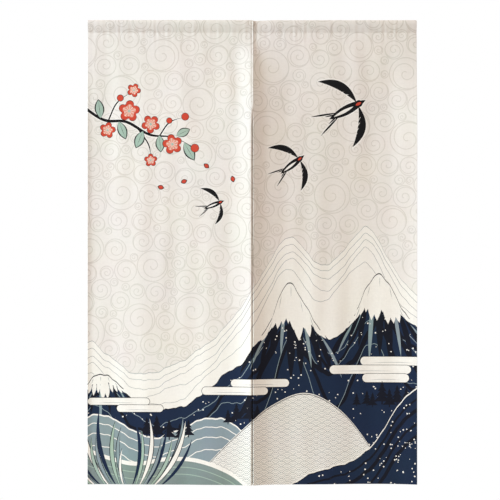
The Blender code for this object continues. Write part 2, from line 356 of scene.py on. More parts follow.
def wrinkles(cloth, x, v):
    """Small relief of the cloth, in metres to the front.

    Long shallow waves across the cloth and a few slanted ones, short puckers along the sewn rows
    that fade within a finger's width, and the furrow of the seam's row. Waves and puckers are sines
    of x and v, with the turns in radians per metre.
    """
    waves = np.sin(x * 103 + 1.3 * np.sin(v * 5.1)) * np.sin(v * 4.3 + x * 9 + 0.7)
    waves = waves + 0.6 * np.sin(x * 61 - v * 13 + 2.1) * np.sin(v * 7.9 + 1.0)
    waves = waves + 0.35 * np.sin(x * 37 + v * 29 + 0.4)
    below = SEWN_V - v
    near_row = fade(np.abs(below), PUCKER_REACH) + 0.5 * fade(np.maximum(below, 0.0), PUCKER_TAIL)
    row_puckers = np.sin(x * 331 + 2.0 * np.sin(x * 53)) * np.sin(x * 97 + 0.5) * near_row
    sewn = ease(v, HEIGHT - SEAM_LENGTH - SEAM_END, HEIGHT - SEAM_LENGTH + SEAM_END)
    near_seam = fade(np.abs(x - SEAM_X), SEAM_PUCKER_REACH) * sewn * ease(below, 0.0, SEAM_START)
    seam_puckers = np.sin(v * 260 + 1.7 * np.sin(v * 41)) * near_seam
    furrow = bell(x - SEAM_X, FURROW_WIDTH) * sewn
    waves = waves * ease(below, WAVES_START, WAVES_FULL)
    return cloth.wrinkle * waves + cloth.pucker * (row_puckers + seam_puckers) - cloth.furrow * furrow


def middle_at(cloth, panel, x, v):
    """The hung place of the cloth's middle at the flat place (x, v).

    Below the sewn row it is the panel's hang. Above it the cloth runs round the rod pocket: with an
    angle h from 0 to half a turn, its height goes with sin^2 h and its depth with sin^2 h cos h.
    """
    depth = np.maximum(HEIGHT - v, STITCH_DEPTH)
    inward = ROLL_IN * rolled_share(x, depth) * panel.laps
    front = np.stack([x - inward, panel.behind - panel.forward(x, depth), -depth], axis=-1)

    lapping = ease(x, LAP_START - LAP_EASE, LAP_START) * panel.laps
    walls = WALLS_APART + (LAP_WALLS_APART - WALLS_APART) * lapping
    nest = 0.0 if panel.laps else NEST * (1.0 - ease(x - LAP_REACH, NEST_START, NEST_END))
    h = np.interp(np.clip(v - SEWN_V, 0.0, 2 * WALL), POCKET_LENGTHS, POCKET_ANGLES)
    half_depth = (POCKET_HALF_DEPTH - nest) / WIDEST * np.sin(h) ** 2 * np.cos(h)
    rise = (STITCH_DEPTH - cloth.thickness / 2 - nest) * np.sin(h) ** 2
    below = np.maximum(v - BACK_SEWN_V, 0.0)
    across = panel.behind + walls * h / np.pi - half_depth
    pocket = np.stack([x, across, rise - STITCH_DEPTH - below], axis=-1)
    return np.where((v > SEWN_V)[..., None], pocket, front)


def facing(places, x, v, step):
    """Unit normals, towards the printed face, of the surface that places(x, v) gives."""
    across = places(x + step, v) - places(x - step, v)
    return unit(np.cross(across, places(x, v + step) - places(x, v - step)))


def hem_amount(cloth, panel, x, v):
    """1 where a hem's turned cloth lies behind, 0 elsewhere, with a short step at its edge."""
    outer, inner = (x - panel.left, panel.right - x) if panel.laps else (panel.right - x, x - panel.left)
    outer, inner = (1.0 - ease(side, cloth.side_hem, cloth.side_hem + HEM_STEP) for side in (outer, inner))
    bottom = 1.0 - ease(v, cloth.bottom_hem, cloth.bottom_hem + HEM_STEP)
    open_cloth = ease(SEWN_V - v, *HEM_FADE)
    in_pocket = np.sin(np.clip(v - SEWN_V, 0.0, 2 * WALL) / (2 * WALL) * np.pi) ** 2
    sides = np.maximum(outer * np.maximum(open_cloth, in_pocket), inner * open_cloth)
    return np.maximum(sides, bottom)


def front_lift(cloth, panel, x, v):
    return np.full(x.shape, cloth.thickness / 2)


def back_lift(cloth, panel, x, v):
    return -cloth.thickness / 2 - cloth.hem_extra * hem_amount(cloth, panel, x, v)


def hung(cloth, panel, x, v, lift):
    """Places lift metres in front of the hung cloth's middle, its small relief included."""
    def middle(x, v):
        return middle_at(cloth, panel, x, v)

    total = np.asarray(lift + wrinkles(cloth, x, v))[..., None]
    return middle(x, v) + facing(middle, x, v, SLOPE_STEP) * total


def surface_normals(cloth, panel, x, v, lift_at):
    """Unit normals of one face of the hung cloth, towards the printed side."""
    return facing(lambda x, v: hung(cloth, panel, x, v, lift_at(cloth, panel, x, v)), x, v, FACE_STEP)


# ---- the print

# A mark says which fine pattern shows on a shape: its scroll's middle and radius, how strongly
# scrolls and scales show on it, and how its scroll is turned.
Shape = collections.namedtuple("Shape", "outline dye mark")
PLAIN = (0.0, 0.0, 0.0, 0.0, 0.0, 0.0)
SCALES = (0.0, 0.0, 0.0, 0.0, 1.0, 0.0)
SCALE_RADIUS = 0.0150
THINNEST = 0.12  # of a stroke's width, at an end that is thinned
LOBE_POWER = 0.6  # of the swing round a flower: the lower, the fuller its lobes


class Design:
    """The printed shapes, from the first laid down to the last, and the draw of what is random."""

    def __init__(self, seed):
        self.draw = np.random.default_rng(seed)
        self.shapes = []

    def lay(self, dye, *outlines, mark=PLAIN):
        self.shapes += [Shape(np.asarray(outline, float), dye, mark) for outline in outlines]


def curve_through(points, steps=12):
    """A smooth line through the given points.

    Each span is the cubic that leaves and meets its ends along half the chord between their
    neighbours.
    """
    p = np.asarray(points, float)
    before = np.vstack([2 * p[0] - p[1], p[:-2]])[:, None]
    after = np.vstack([p[2:], 2 * p[-1] - p[-2]])[:, None]
    here, there = p[:-1][:, None], p[1:][:, None]
    t = np.linspace(0.0, 1.0, steps, endpoint=False)[None, :, None]
    line = 0.5 * (
        2 * here + (there - before) * t + (2 * before - 5 * here + 4 * there - after) * t**2
        + (3 * here - before - 3 * there + after) * t**3
    )
    return np.vstack([line.reshape(-1, 2), p[-1]])


def left_of(run):
    """Flat vectors after a quarter turn to the left."""
    return np.stack([-run[..., 1], run[..., 0]], axis=-1)


def extent(points):
    """The lowest and the highest corner of the points' box."""
    return points.min(axis=0), points.max(axis=0)


def stroke(line, width, thin_start=0.0, thin_end=0.0):
    """A brush stroke: the line moved half the width to each side, thinned over shares at its ends."""
    line = np.asarray(line, float)
    along = np.linspace(0.0, 1.0, len(line))
    for way, thin in ((along, thin_start), (1.0 - along, thin_end)):
        if thin:
            width = width * (THINNEST + (1 - THINNEST) * ease(way, 0.0, thin))
    side = left_of(unit(np.gradient(line, axis=0))) * np.reshape(width / 2, (-1, 1))
    return np.vstack([line + side, (line - side)[::-1]])


def blade(root, tip, bow_left, bow_right, steps=10):
    """A pointed leaf between two parabolas from root to tip, bowed aside by shares of its length."""
    root, tip = np.asarray(root, float), np.asarray(tip, float)
    chord = tip - root
    t = np.linspace(0.0, 1.0, steps)[:, None]
    middle, arch = root + chord * t, left_of(chord) * 4 * t * (1 - t)
    return np.vstack([middle + arch * bow_left, (middle + arch * bow_right)[::-1][1:-1]])


def directions(angle):
    """Unit steps towards the angles."""
    return np.stack([np.cos(angle), np.sin(angle)], axis=-1)


def lobed(centre, radius, lobes, waist, turn, steps=50):
    """A flower outline: the radius swings between its waist share and 1, once for each lobe."""
    angle = np.linspace(0.0, 2 * np.pi, steps, endpoint=False)
    swing = np.abs(np.cos(lobes * (angle - turn) / 2)) ** LOBE_POWER
    reach = radius * (waist + (1 - waist) * swing)
    return np.asarray(centre) + directions(angle) * reach[:, None]


def disc(centre, radius, steps=10):
    return lobed(centre, radius, 1, 1.0, 0.0, steps)


def bar(middle, half_length, half_height, steps=13):
    """A level bar with round ends."""
    angle = np.linspace(-np.pi / 2, np.pi / 2, steps)
    end = directions(angle) * half_height + (half_length - half_height, 0)
    return np.vstack([end, -end]) + middle


def turned(points, heading, span, middle):
    """Points of a unit drawing turned, scaled and moved to their place."""
    cos, sin = math.cos(heading), math.sin(heading)
    return np.asarray(points, float) @ np.array([[cos, sin], [-sin, cos]]) * span + middle


def inside(points, outline):
    """Whether each point lies inside an outline: its signed crossings of a level ray don't cancel."""
    x, y = points[:, 0:1], points[:, 1:2]
    ax, ay = outline[:, 0], outline[:, 1]
    bx, by = np.roll(ax, -1), np.roll(ay, -1)
    side = (bx - ax) * (y - ay) - (x - ax) * (by - ay)
    rising = (ay <= y) & (by > y) & (side > 0)
    falling = (ay > y) & (by <= y) & (side < 0)
    return rising.sum(axis=1) != falling.sum(axis=1)


def land(ridge, floor=-0.03):
    """Closes a ridge line downwards."""
    return np.vstack([ridge, [ridge[-1, 0], floor], [ridge[0, 0], floor]])


# The landscape's layers, from back to front. A layer's ridge is a smooth line through points across
# and up, roughened by crags of a height. Rims are wider copies behind it, as rise and dye. Bands run
# below it, as drop, width and dye, and sway by a share of their drop.
Layer = collections.namedtuple("Layer", "ridge crags rims dye bands sway mark", defaults=(0.0, PLAIN))
CRAG_WAVES = ((1.0, 88, 1.1), (0.6, 171, 2.2), (0.4, 303, 1.1))  # share, radians per metre, start
SWAY_TURN, SWAY_SHIFT = 37, 60  # of the bands, in radians per metre across and per metre of drop
DOT_RADII = (0.0009, 0.0021)
FAR = Layer(
    ((-0.44, 0.360), (-0.41, 0.365), (-0.37, 0.330), (-0.30, 0.285), (-0.22, 0.300), (-0.14, 0.345),
     (-0.07, 0.405), (0.00, 0.500), (0.07, 0.615), (0.11, 0.635), (0.16, 0.575), (0.21, 0.575),
     (0.27, 0.645), (0.31, 0.655), (0.37, 0.550), (0.44, 0.470)),
    0.0022, ((0.0016, "contour"),), "cream",
    tuple((drop, 0.0012, "contour") for drop in (0.016, 0.036, 0.060, 0.088)), 0.12,
)
NAVY = Layer(
    ((-0.44, 0.240), (-0.395, 0.285), (-0.36, 0.268), (-0.30, 0.215), (-0.23, 0.190), (-0.15, 0.215),
     (-0.08, 0.275), (-0.02, 0.320), (0.04, 0.410), (0.080, 0.500), (0.105, 0.515), (0.16, 0.420),
     (0.21, 0.372), (0.26, 0.430), (0.305, 0.520), (0.335, 0.540), (0.39, 0.450), (0.44, 0.385)),
    0.0030, ((0.0050, "cream"), (0.0024, "midnight")), "navy",
    ((0.034, 0.0016, "slate"), (0.060, 0.0070, "midnight"), (0.084, 0.0014, "slate"),
     (0.106, 0.0120, "midnight"), (0.150, 0.0085, "midnight"), (0.172, 0.0014, "slate")), 0.20,
)
SLATE = Layer(
    ((-0.44, 0.165), (-0.39, 0.178), (-0.33, 0.150), (-0.26, 0.118), (-0.19, 0.138), (-0.12, 0.168),
     (-0.06, 0.160), (0.01, 0.100), (0.08, -0.020)),
    0.0016, ((0.0040, "cream"),), "slate",
    tuple((drop, 0.0022, "cream") for drop in (0.020, 0.046, 0.078)),
)
HILL = Layer(
    ((-0.17, -0.020), (-0.11, 0.055), (-0.03, 0.135), (0.05, 0.200), (0.14, 0.232), (0.23, 0.185),
     (0.31, 0.085), (0.37, -0.020)),
    0.0, ((0.0040, "cream"), (0.0018, "midnight")), "cream", (), 0.0, SCALES,
)
FRONT = Layer(
    ((0.07, -0.020), (0.16, 0.028), (0.24, 0.050), (0.30, 0.085), (0.345, 0.145), (0.39, 0.215),
     (0.44, 0.255)),
    0.0016, ((0.0058, "cream"), (0.0020, "midnight")), "navy",
    ((0.024, 0.005, "midnight"), (0.052, 0.009, "midnight"), (0.088, 0.006, "midnight"),
     (0.120, 0.009, "midnight")),
)
MEADOW = Layer(
    ((-0.44, 0.088), (-0.37, 0.062), (-0.30, 0.048), (-0.22, 0.060), (-0.14, 0.056), (-0.06, 0.026),
     (0.00, -0.020)),
    0.0, ((0.0105, "cream"),), "sage", ((0.016, 0.0018, "leaf"), (0.034, 0.0018, "leaf")),
)

# A peak's snow reaches so far to each side of it and so far down, and darker gullies fall below it
Peak = collections.namedtuple("Peak", "x spread snow fall streaks")
PEAKS = (
    Peak(0.330, 0.085, 0.086, 0.190, 11),
    Peak(0.100, 0.082, 0.096, 0.215, 11),
    Peak(-0.392, 0.062, 0.046, 0.110, 9),
)

# Bars of mist: middle, half length and half height
Mist = collections.namedtuple("Mist", "x v half_length half_height")
MISTS = (
    Mist(0.365, 0.318, 0.085, 0.011), Mist(0.305, 0.296, 0.105, 0.011), Mist(0.345, 0.274, 0.060, 0.011),
    Mist(0.020, 0.262, 0.075, 0.010), Mist(-0.045, 0.242, 0.085, 0.010),
    Mist(-0.345, 0.214, 0.080, 0.009), Mist(-0.290, 0.196, 0.060, 0.009),
)
MIST_RIM = 0.0012

# Clumps of pines: from x to x, the height that they stand at, and how many
PINES = ((0.27, 0.40, 0.200, 7), (-0.06, 0.04, 0.165, 5), (-0.27, -0.16, 0.122, 5))

# Reeds are counted from the right. Each stands a step further left than the last and leans further
# left. One is about upright, one is the tallest, and the dyes take turns.
REEDS, REED_DYES = 24, ("navy", "slate", "cream", "leaf")
REED_START, REED_STEP, REED_FOOT = -0.245, 0.0085, -0.01
REED_LEAN, UPRIGHT_REED, TALLEST_REED = 0.0105, 9, 13
REED_HEIGHTS, REED_BOWS = (0.10, 0.215), (0.05, 0.11)
REED_WIDTH, REED_RIM = 0.026, 0.010

# Flying birds: middle, wingspan, heading in degrees
Bird = collections.namedtuple("Bird", "x v span heading")
BIRDS = (
    Bird(0.246, 0.968, 0.200, 28.0), Bird(0.104, 0.826, 0.145, 38.0), Bird(-0.098, 0.722, 0.105, 22.0)
)

# The branch, its twigs, and the leaves as root, tip and bow
BRANCH = ((-0.45, 0.985), (-0.385, 0.942), (-0.325, 0.936), (-0.265, 0.903), (-0.205, 0.896),
          (-0.150, 0.870))
TWIGS = (
    ((-0.372, 0.940), (-0.350, 0.985), (-0.312, 1.014)),
    ((-0.300, 0.925), (-0.268, 0.878), (-0.262, 0.842)),
    ((-0.240, 0.899), (-0.214, 0.934), (-0.176, 0.948)),
)
LEAVES = (
    ((-0.345, 0.937), (-0.327, 0.893), 0.20), ((-0.240, 0.901), (-0.236, 0.859), 0.22),
    ((-0.392, 0.946), (-0.398, 0.993), 0.20), ((-0.196, 0.900), (-0.162, 0.916), 0.24),
    ((-0.282, 0.912), (-0.300, 0.870), 0.22), ((-0.176, 0.882), (-0.150, 0.838), 0.20),
)
BRANCH_WIDTH, TWIG_WIDTH, BRANCH_RIM = 0.0072, 0.0034, 0.0036
# Blossoms as middle, radius and turn, buds as middle and radius, and falling petals as middle and
# heading, in degrees. All have a rim of ink.
BLOSSOMS = (
    (-0.318, 0.964, 0.027, 12.0), (-0.262, 0.930, 0.023, 50.0), (-0.206, 0.878, 0.025, 30.0),
    (-0.374, 0.915, 0.020, 5.0), (-0.306, 1.018, 0.017, 66.0), (-0.262, 0.837, 0.016, 20.0),
)
BUDS = ((-0.173, 0.949, 0.009), (-0.148, 0.868, 0.010), (-0.214, 0.939, 0.007), (-0.341, 0.998, 0.008))
PETALS = ((-0.118, 0.822, 140.0), (-0.176, 0.782, 200.0), (-0.050, 0.788, 105.0), (-0.236, 0.767, 165.0))
BLOSSOM_LOBES, BLOSSOM_WAIST, HEART_WAIST = 5, 0.56, 0.50
BLOSSOM_RIM, BUD_RIM, PETAL_RIM = 0.0013, 0.0011, 0.0024
HEART, STAMENS = 0.66, 10  # the pale heart's share of the radius, and the number of stamens

# Scroll sizes on the ground: how many tries, and the smallest and largest radius. The first ones
# keep apart from each other, and the others are pushed against their neighbours.
ScrollSize = collections.namedtuple("ScrollSize", "tries small large apart")
SCROLL_SIZES = (
    ScrollSize(400, 0.0380, 0.0490, 0.050), ScrollSize(3000, 0.0245, 0.0300, 0.0),
    ScrollSize(3000, 0.0165, 0.0220, 0.0), ScrollSize(4500, 0.0095, 0.0145, 0.0),
)
FIRST_SCROLL, FIRST_RADIUS = (-0.335, 1.010), 0.048
SCROLL_GAP = 0.0008
SCROLL_SIDES = 22  # of the disc of cloth that carries a scroll
SCROLLS_LOW = 0.24  # scrolls lie above this
SCROLLS_PAST = (0.03, 0.02)  # and so far past the cloth's sides and its end


def pack_circles(draw):
    """Circles that touch each other, large ones first.

    Each try drops a middle at random, pushes it against its nearest neighbour until they touch, and
    keeps it if it then clears all the others.
    """
    middles, radii = np.array([FIRST_SCROLL]), np.array([FIRST_RADIUS])
    side, end = WIDTH / 2 + SCROLLS_PAST[0], END_V + SCROLLS_PAST[1]
    for size in SCROLL_SIZES:
        for _ in range(size.tries):
            middle = draw.uniform((-side, SCROLLS_LOW), (side, end))
            radius = draw.uniform(size.small, size.large)
            away = middle - middles
            distance = np.hypot(away[:, 0], away[:, 1])
            near = int(np.argmin(distance - radii))
            if distance[near] < radii[near]:
                continue
            if not size.apart:
                reach = radii[near] + radius + SCROLL_GAP
                middle = middles[near] + away[near] / distance[near] * reach
            away = middle - middles
            room = (np.hypot(away[:, 0], away[:, 1]) - radii - SCROLL_GAP - size.apart).min()
            if room < size.small - SAME_PLACE:
                continue
            middles = np.vstack([middles, middle])
            radii = np.append(radii, min(radius, room + SAME_PLACE))
    return middles, radii


def scroll_ground(design, covered):
    """The ground's packed scrolls, each a disc that a line's pattern is dyed on, where no land covers it.

    Its mark holds the turn as a share of a full turn past 1, negative where the scroll winds the
    other way.
    """
    for middle, radius in zip(*pack_circles(design.draw)):
        turn, handed = design.draw.uniform(1.0, 2.0), design.draw.choice((-1.0, 1.0))
        if not inside((middle + (0.0, radius * 0.5))[None], covered)[0]:
            outline = disc(middle, radius / math.cos(math.pi / SCROLL_SIDES) + SCROLL_GAP / 8, SCROLL_SIDES)
            design.lay("ground", outline, mark=(*middle, radius, 1.0, 0.0, handed * turn))


def ridge_line(layer):
    """A layer's ridge with its crags: three sine waves of the place across."""
    ridge = curve_through(layer.ridge)
    x = ridge[:, 0]
    ridge[:, 1] += layer.crags * sum(share * np.sin(x * turn + start) for share, turn, start in CRAG_WAVES)
    return ridge


def lay_layer(design, layer):
    """A layer's rims, its land and the bands below its ridge. A band sways with a sine of x."""
    ridge = ridge_line(layer)
    for rise, dye in layer.rims:
        design.lay(dye, land(ridge + (0.0, rise)))
    design.lay(layer.dye, land(ridge), mark=layer.mark)
    for drop, width, dye in layer.bands:
        sway = drop * layer.sway * np.sin(ridge[:, 0] * SWAY_TURN + drop * SWAY_SHIFT)
        design.lay(dye, stroke(ridge + np.column_stack([0 * sway, sway - drop]), width))


def speckle(design, layer, drop, tries, count):
    """Light dots scattered over a layer, no nearer to its ridge than the drop."""
    ridge = ridge_line(layer)
    low, high = extent(ridge)
    dots = design.draw.uniform((low[0], 0.0), high, (tries, 2))
    for dot in dots[inside(dots, land(ridge - (0.0, drop)))][:count]:
        design.lay("cream", disc(dot, design.draw.uniform(*DOT_RADII)))


def snow_and_gullies(design, ridge, peak):
    """A snow cap along the ridge with pointed tongues below it, and gullies that fall between them.

    With a share from -1 to 1 across the peak, the snow ends lower by snow * (1 - 0.8 |share|), and
    tongues and gullies lean outwards with the share.
    """
    def level(share, drop):
        x = peak.x + share * peak.spread
        return np.column_stack([x, np.interp(x, ridge[:, 0], ridge[:, 1]) - drop])

    def snow_depth(share):
        return peak.snow * (1.0 - 0.8 * abs(share))

    for k, share in enumerate(np.linspace(-0.92, 0.92, peak.streaks)):
        root = level(np.array([share]), snow_depth(share) * 0.45)[0]
        length = peak.fall * (1.0 - 0.55 * abs(share)) * design.draw.uniform(0.7, 1.1)
        dye, width = ("slate", 0.030) if k % 3 == 1 else ("midnight", 0.055)
        tip = root + (share * peak.spread * 0.75, -length)
        lean = 0.04 * share
        design.lay(dye, blade(root, tip, lean + width, lean - width))
    share = np.linspace(-1.0, 1.0, 61)
    cap = peak.snow * 0.50 * (1.0 - np.abs(share)) + 0.002
    design.lay("cream", np.vstack([level(share, 0.0003), level(share, cap)[::-1]]))
    for share in np.linspace(-0.88, 0.88, peak.streaks + 3):
        root = level(np.array([share * 0.94]), snow_depth(share) * 0.25)[0]
        reach = snow_depth(share) * design.draw.uniform(0.55, 1.05) * (1.2 if abs(share) < 0.5 else 0.8)
        tip = root + (share * peak.spread * 0.32, -reach - 0.006)
        design.lay("cream", blade(root, tip, 0.13, -0.13))
    down = np.linspace(0.0, 1.0, 5)
    for share in np.linspace(-0.6, 0.6, 5):
        line = level(share * (1 + 0.25 * down), peak.snow * (0.08 + 0.30 * down * (1 - abs(share))))
        design.lay("contour", stroke(line, 0.0013, 0.3, 0.5))


def pine(design, foot, height):
    """A pine: four tiers of drooping boughs, each wider than the one above, on a short trunk."""
    tier = np.arange(4)
    out, drop = 0.10 + 0.085 * tier, 0.24 + 0.21 * tier
    boughs = np.stack([np.column_stack([out, -drop]), np.column_stack([out * 0.42, 0.035 - drop])], axis=1)
    trunk = ((0.03, -drop[-1]), (0.03, -1.0))
    right = np.vstack([(0.0, 0.0), boughs.reshape(-1, 2)[:-1], trunk])
    outline = np.vstack([right, right[:0:-1] * (-1, 1)]) + (0.0, 1.0)
    design.lay("midnight", outline * height + foot)


def landscape(design):
    """Layered mountains with snow and gullies, mist, pines, a hill with scales, and a meadow."""
    lay_layer(design, FAR)
    lay_layer(design, NAVY)
    for peak in PEAKS:
        snow_and_gullies(design, ridge_line(NAVY), peak)
    speckle(design, NAVY, 0.012, 1100, 430)
    for x, v, half_length, half_height in MISTS:
        design.lay("midnight", bar((x, v), half_length + MIST_RIM, half_height + MIST_RIM))
        design.lay("cream", bar((x, v), half_length, half_height))
        line = np.array([(-0.7, -0.0040), (-0.05, -0.0035), (0.6, -0.0040)]) * (half_length, 1.0)
        design.lay("contour", stroke(curve_through(line + (x, v), 5), 0.0011, 0.3, 0.3))
    lay_layer(design, SLATE)
    for start, end, foot, count in PINES:
        for x in np.linspace(start, end, count):
            nudge = design.draw.uniform((-0.006, -0.010), (0.006, 0.006))
            pine(design, nudge + (x, foot), design.draw.uniform(0.034, 0.062))
    lay_layer(design, HILL)
    lay_layer(design, FRONT)
    speckle(design, FRONT, 0.010, 400, 90)
    lay_layer(design, MEADOW)


def reeds(design):
    """Long reeds from the meadow's left side, leaning apart, in turns of four dyes."""
    for k in range(REEDS):
        dye = REED_DYES[k % len(REED_DYES)]
        root = np.array([REED_START - REED_STEP * k, REED_FOOT])
        lean = (UPRIGHT_REED - k) * REED_LEAN + design.draw.uniform(-0.02, 0.02)
        height = design.draw.uniform(*REED_HEIGHTS) * (1.0 - 0.15 * abs(k - TALLEST_REED) / TALLEST_REED)
        bow = design.draw.uniform(*REED_BOWS) * (1 if lean < 0 else -1)
        tip = root + (lean, height)
        if dye != "navy":
            rim = REED_WIDTH + REED_RIM
            design.lay("midnight", blade(root, tip + (0, 0.003), bow + rim, bow - rim, 12))
        design.lay(dye, blade(root, tip, bow + REED_WIDTH, bow - REED_WIDTH, 12))


def bird_parts(swell):
    """A swallow seen from below with its head along +X, for a wingspan of 1, as unit outlines."""
    parts = []
    for side, reach in ((1, 0.50), (-1, 0.46)):
        bow = (0.25 + swell) * -side, (0.06 - swell) * -side
        parts.append(blade((0.15, 0.02 * side), (-0.17 - swell, (reach + swell) * side), *bow, 16))
        bow = (0.035 + swell) * side, (-0.030 - swell) * side
        parts.append(blade((-0.12, 0.02 * side), (-0.47 - swell, 0.14 * side), *bow))
        parts.append(blade((-0.12, 0.0), (-0.31 - swell, 0.055 * side), 0.05 + swell, -0.05 - swell))
    parts.append(blade((-0.27, 0.0), (0.27 + swell, 0.0), 0.115 + swell, -0.115 - swell, 14))
    parts.append(disc((0.170, 0.0), 0.046 + swell * 0.7, 16))
    return parts


def birds(design):
    """Swallows in ink, with a light rim round them, a pale belly, a red throat and feather lines."""
    parts = [("halo", outline) for outline in bird_parts(0.018)]
    parts += [("ink", outline) for outline in bird_parts(0.0)]
    parts.append(("halo", blade((-0.20, 0.0), (0.090, 0.0), 0.070, -0.070)))
    parts.append(("coral", blade((0.120, 0.0), (0.205, 0.0), 0.22, -0.22)))
    for side in (1, -1):
        for share in (0.30, 0.46, 0.62, 0.76):
            root = np.array([0.175 - 0.20 * share - 0.12 * share**3, side * (0.055 + 0.36 * share)])
            line = np.array([root, root + (-0.030, 0.014 * side), root + (-0.055, 0.034 * side)])
            parts.append(("halo", stroke(curve_through(line, 4), 0.0065, 0.4, 0.4)))
    for bird in BIRDS:
        for dye, outline in parts:
            design.lay(dye, turned(outline, math.radians(bird.heading), bird.span, (bird.x, bird.v)))


def branch(design):
    """A branch with twigs, leaves, buds, falling petals and five-petalled blossoms."""
    lines = [(curve_through(BRANCH), BRANCH_WIDTH)]
    lines += [(curve_through(twig, 8), TWIG_WIDTH) for twig in TWIGS]
    design.lay("halo", *(stroke(line, width + BRANCH_RIM, 0.0, 0.45) for line, width in lines))
    design.lay("ink", *(stroke(line, width, 0.0, 0.55) for line, width in lines))
    for root, tip, bow in LEAVES:
        root, tip = np.array(root), np.array(tip)
        design.lay("ink", blade(root, tip + (tip - root) * 0.05, bow + 0.05, -bow - 0.05, 14))
        design.lay("leaf", blade(root, tip, bow, -bow, 14))
        design.lay("ink", stroke([root, (root + tip) / 2, tip], 0.0009, 0.3, 0.3))
    for x, v, radius in BUDS:
        design.lay("ink", disc((x, v), radius + BUD_RIM, 20))
        design.lay("coral", disc((x, v), radius, 20))
    for x, v, heading in PETALS:
        for swell, dye in ((PETAL_RIM, "ink"), (0.0, "coral")):
            petal = blade((-0.0065 - swell, 0.0), (0.0065 + swell, 0.0), 0.34, -0.34)
            design.lay(dye, turned(petal, math.radians(heading), 1.0, (x, v)))
    for x, v, radius, turn in BLOSSOMS:
        middle, turn = np.array([x, v]), math.radians(turn)
        design.lay("ink", lobed(middle, radius + BLOSSOM_RIM, BLOSSOM_LOBES, BLOSSOM_WAIST, turn))
        design.lay("coral", lobed(middle, radius, BLOSSOM_LOBES, BLOSSOM_WAIST, turn))
        design.lay("salmon", lobed(middle, radius * HEART, BLOSSOM_LOBES, HEART_WAIST, turn))
        for k in range(STAMENS):
            reach = radius * (0.46 if k % 2 else 0.56)
            tip = directions(turn + k * (2 / STAMENS) * np.pi) * reach
            design.lay("cream", stroke([middle, middle + tip / 2, middle + tip], 0.0008))
            design.lay("cream", disc(middle + tip, 0.0011, 8))
        design.lay("leaf", disc(middle, radius * 0.13, 12))


def print_shapes(seed):
    """All printed shapes, from the first laid down to the last."""
    design = Design(seed)
    scroll_ground(design, land(ridge_line(FAR)))
    landscape(design)
    reeds(design)
    branch(design)
    birds(design)
    return design.shapes


# ---- the flat cloth's cut


def lines_between(start, end, step):
    """Evenly spaced places from start to end, both of them included."""
    return np.linspace(start, end, max(2, int(round((end - start) / step)) + 1))


def lattice(cloth, panel):
    """The flat cloth's own lines: cut and free places across, then cut and free places along.

    The cloth needs cut lines where it bends sharply: round the pocket, at the hems' steps, at the
    seam's furrow, at the rolled edge and at the groove's wall. Between them free points are enough.
    """
    hem_lines = (0.0, cloth.side_hem, cloth.side_hem + HEM_STEP)
    cut_x = [panel.left + hem for hem in hem_lines] + [panel.right - hem for hem in hem_lines]
    cut_x += [*np.linspace(LAP_REACH - ROLL_WIDTH, LAP_REACH, ROLL_LINES, endpoint=False)]
    if panel.laps:
        cut_x.append(LAP_START - LAP_EASE)
    else:
        cut_x += [*np.linspace(GROOVE_FLOOR, GROOVE_LIP, GROOVE_LINES)]
        cut_x += [GROOVE_LIP + past for past in LIP_LINES]
    cut_x = np.unique(np.round(cut_x, 7))
    free_x = lines_between(panel.left, panel.right, COLUMN_STEP)[1:-1]
    free_x = free_x[np.abs(free_x[:, None] - cut_x[None]).min(axis=1) > COLUMN_STEP * 0.3]

    fade_start, fade_end = (SEWN_V - drop for drop in HEM_FADE)
    cut_v = [0.0, cloth.bottom_hem, cloth.bottom_hem + HEM_STEP, fade_start, fade_end, END_V]
    cut_v = np.unique(np.round([*cut_v, *np.linspace(SEWN_V, BACK_SEWN_V, POCKET_ROWS + 1)], 7))
    top_start = HEIGHT - HANG_FULL - RELEASE
    low = lines_between(cloth.bottom_hem + HEM_STEP, top_start, ROW_STEP)[1:]
    high = lines_between(top_start, fade_end, TOP_ROW_STEP)[1:-1]
    return cut_x, free_x, cut_v, np.concatenate([low, high])


def cut_cloth(cloth, panel, shapes):
    """Cuts the flat panel into triangles along the lattice's cut lines and the motifs' outlines.

    Returns the flat points and the triangles, counter-clockwise as seen from the printed face.
    """
    cut_x, free_x, cut_v, free_v = lattice(cloth, panel)
    all_x, all_v = np.sort(np.concatenate([cut_x, free_x])), np.sort(np.concatenate([cut_v, free_v]))
    columns = len(all_x)
    points = [np.stack(np.meshgrid(all_x, all_v), axis=-1).reshape(-1, 2)]
    along = np.searchsorted(all_v, cut_v)[:, None] * columns + np.arange(columns - 1)
    upward = np.searchsorted(all_x, cut_x)[:, None] + np.arange(len(all_v) - 1) * columns
    edges = [np.stack([along, along + 1], axis=-1), np.stack([upward, upward + columns], axis=-1)]
    count = len(points[0])
    for outline in (shape.outline for shape in shapes):
        low, high = extent(outline)
        if low[0] < panel.right and high[0] > panel.left and low[1] < END_V and high[1] > 0.0:
            ring = count + np.arange(len(outline))
            points.append(outline)
            edges.append(np.column_stack([ring, np.roll(ring, -1)]))
            count += len(ring)
    edges = np.concatenate([edge.reshape(-1, 2) for edge in edges])
    cut = delaunay_2d_cdt(np.vstack(points).tolist(), edges.tolist(), [], 0, SAME_PLACE, False)
    places, triangles = np.array(cut[0]), np.array(cut[2])

    corners = places[triangles]
    middles = corners.mean(axis=1)
    one, two = corners[:, 1] - corners[:, 0], corners[:, 2] - corners[:, 0]
    area = one[:, 0] * two[:, 1] - one[:, 1] * two[:, 0]
    kept = (middles > (panel.left, 0.0)).all(axis=1) & (middles < (panel.right, END_V)).all(axis=1)
    kept &= np.abs(area) > SLIVER
    triangles = np.where((area < 0)[:, None], triangles[:, ::-1], triangles)[kept]
    used, triangles = np.unique(triangles, return_inverse=True)
    return places[used], triangles.reshape(-1, 3)


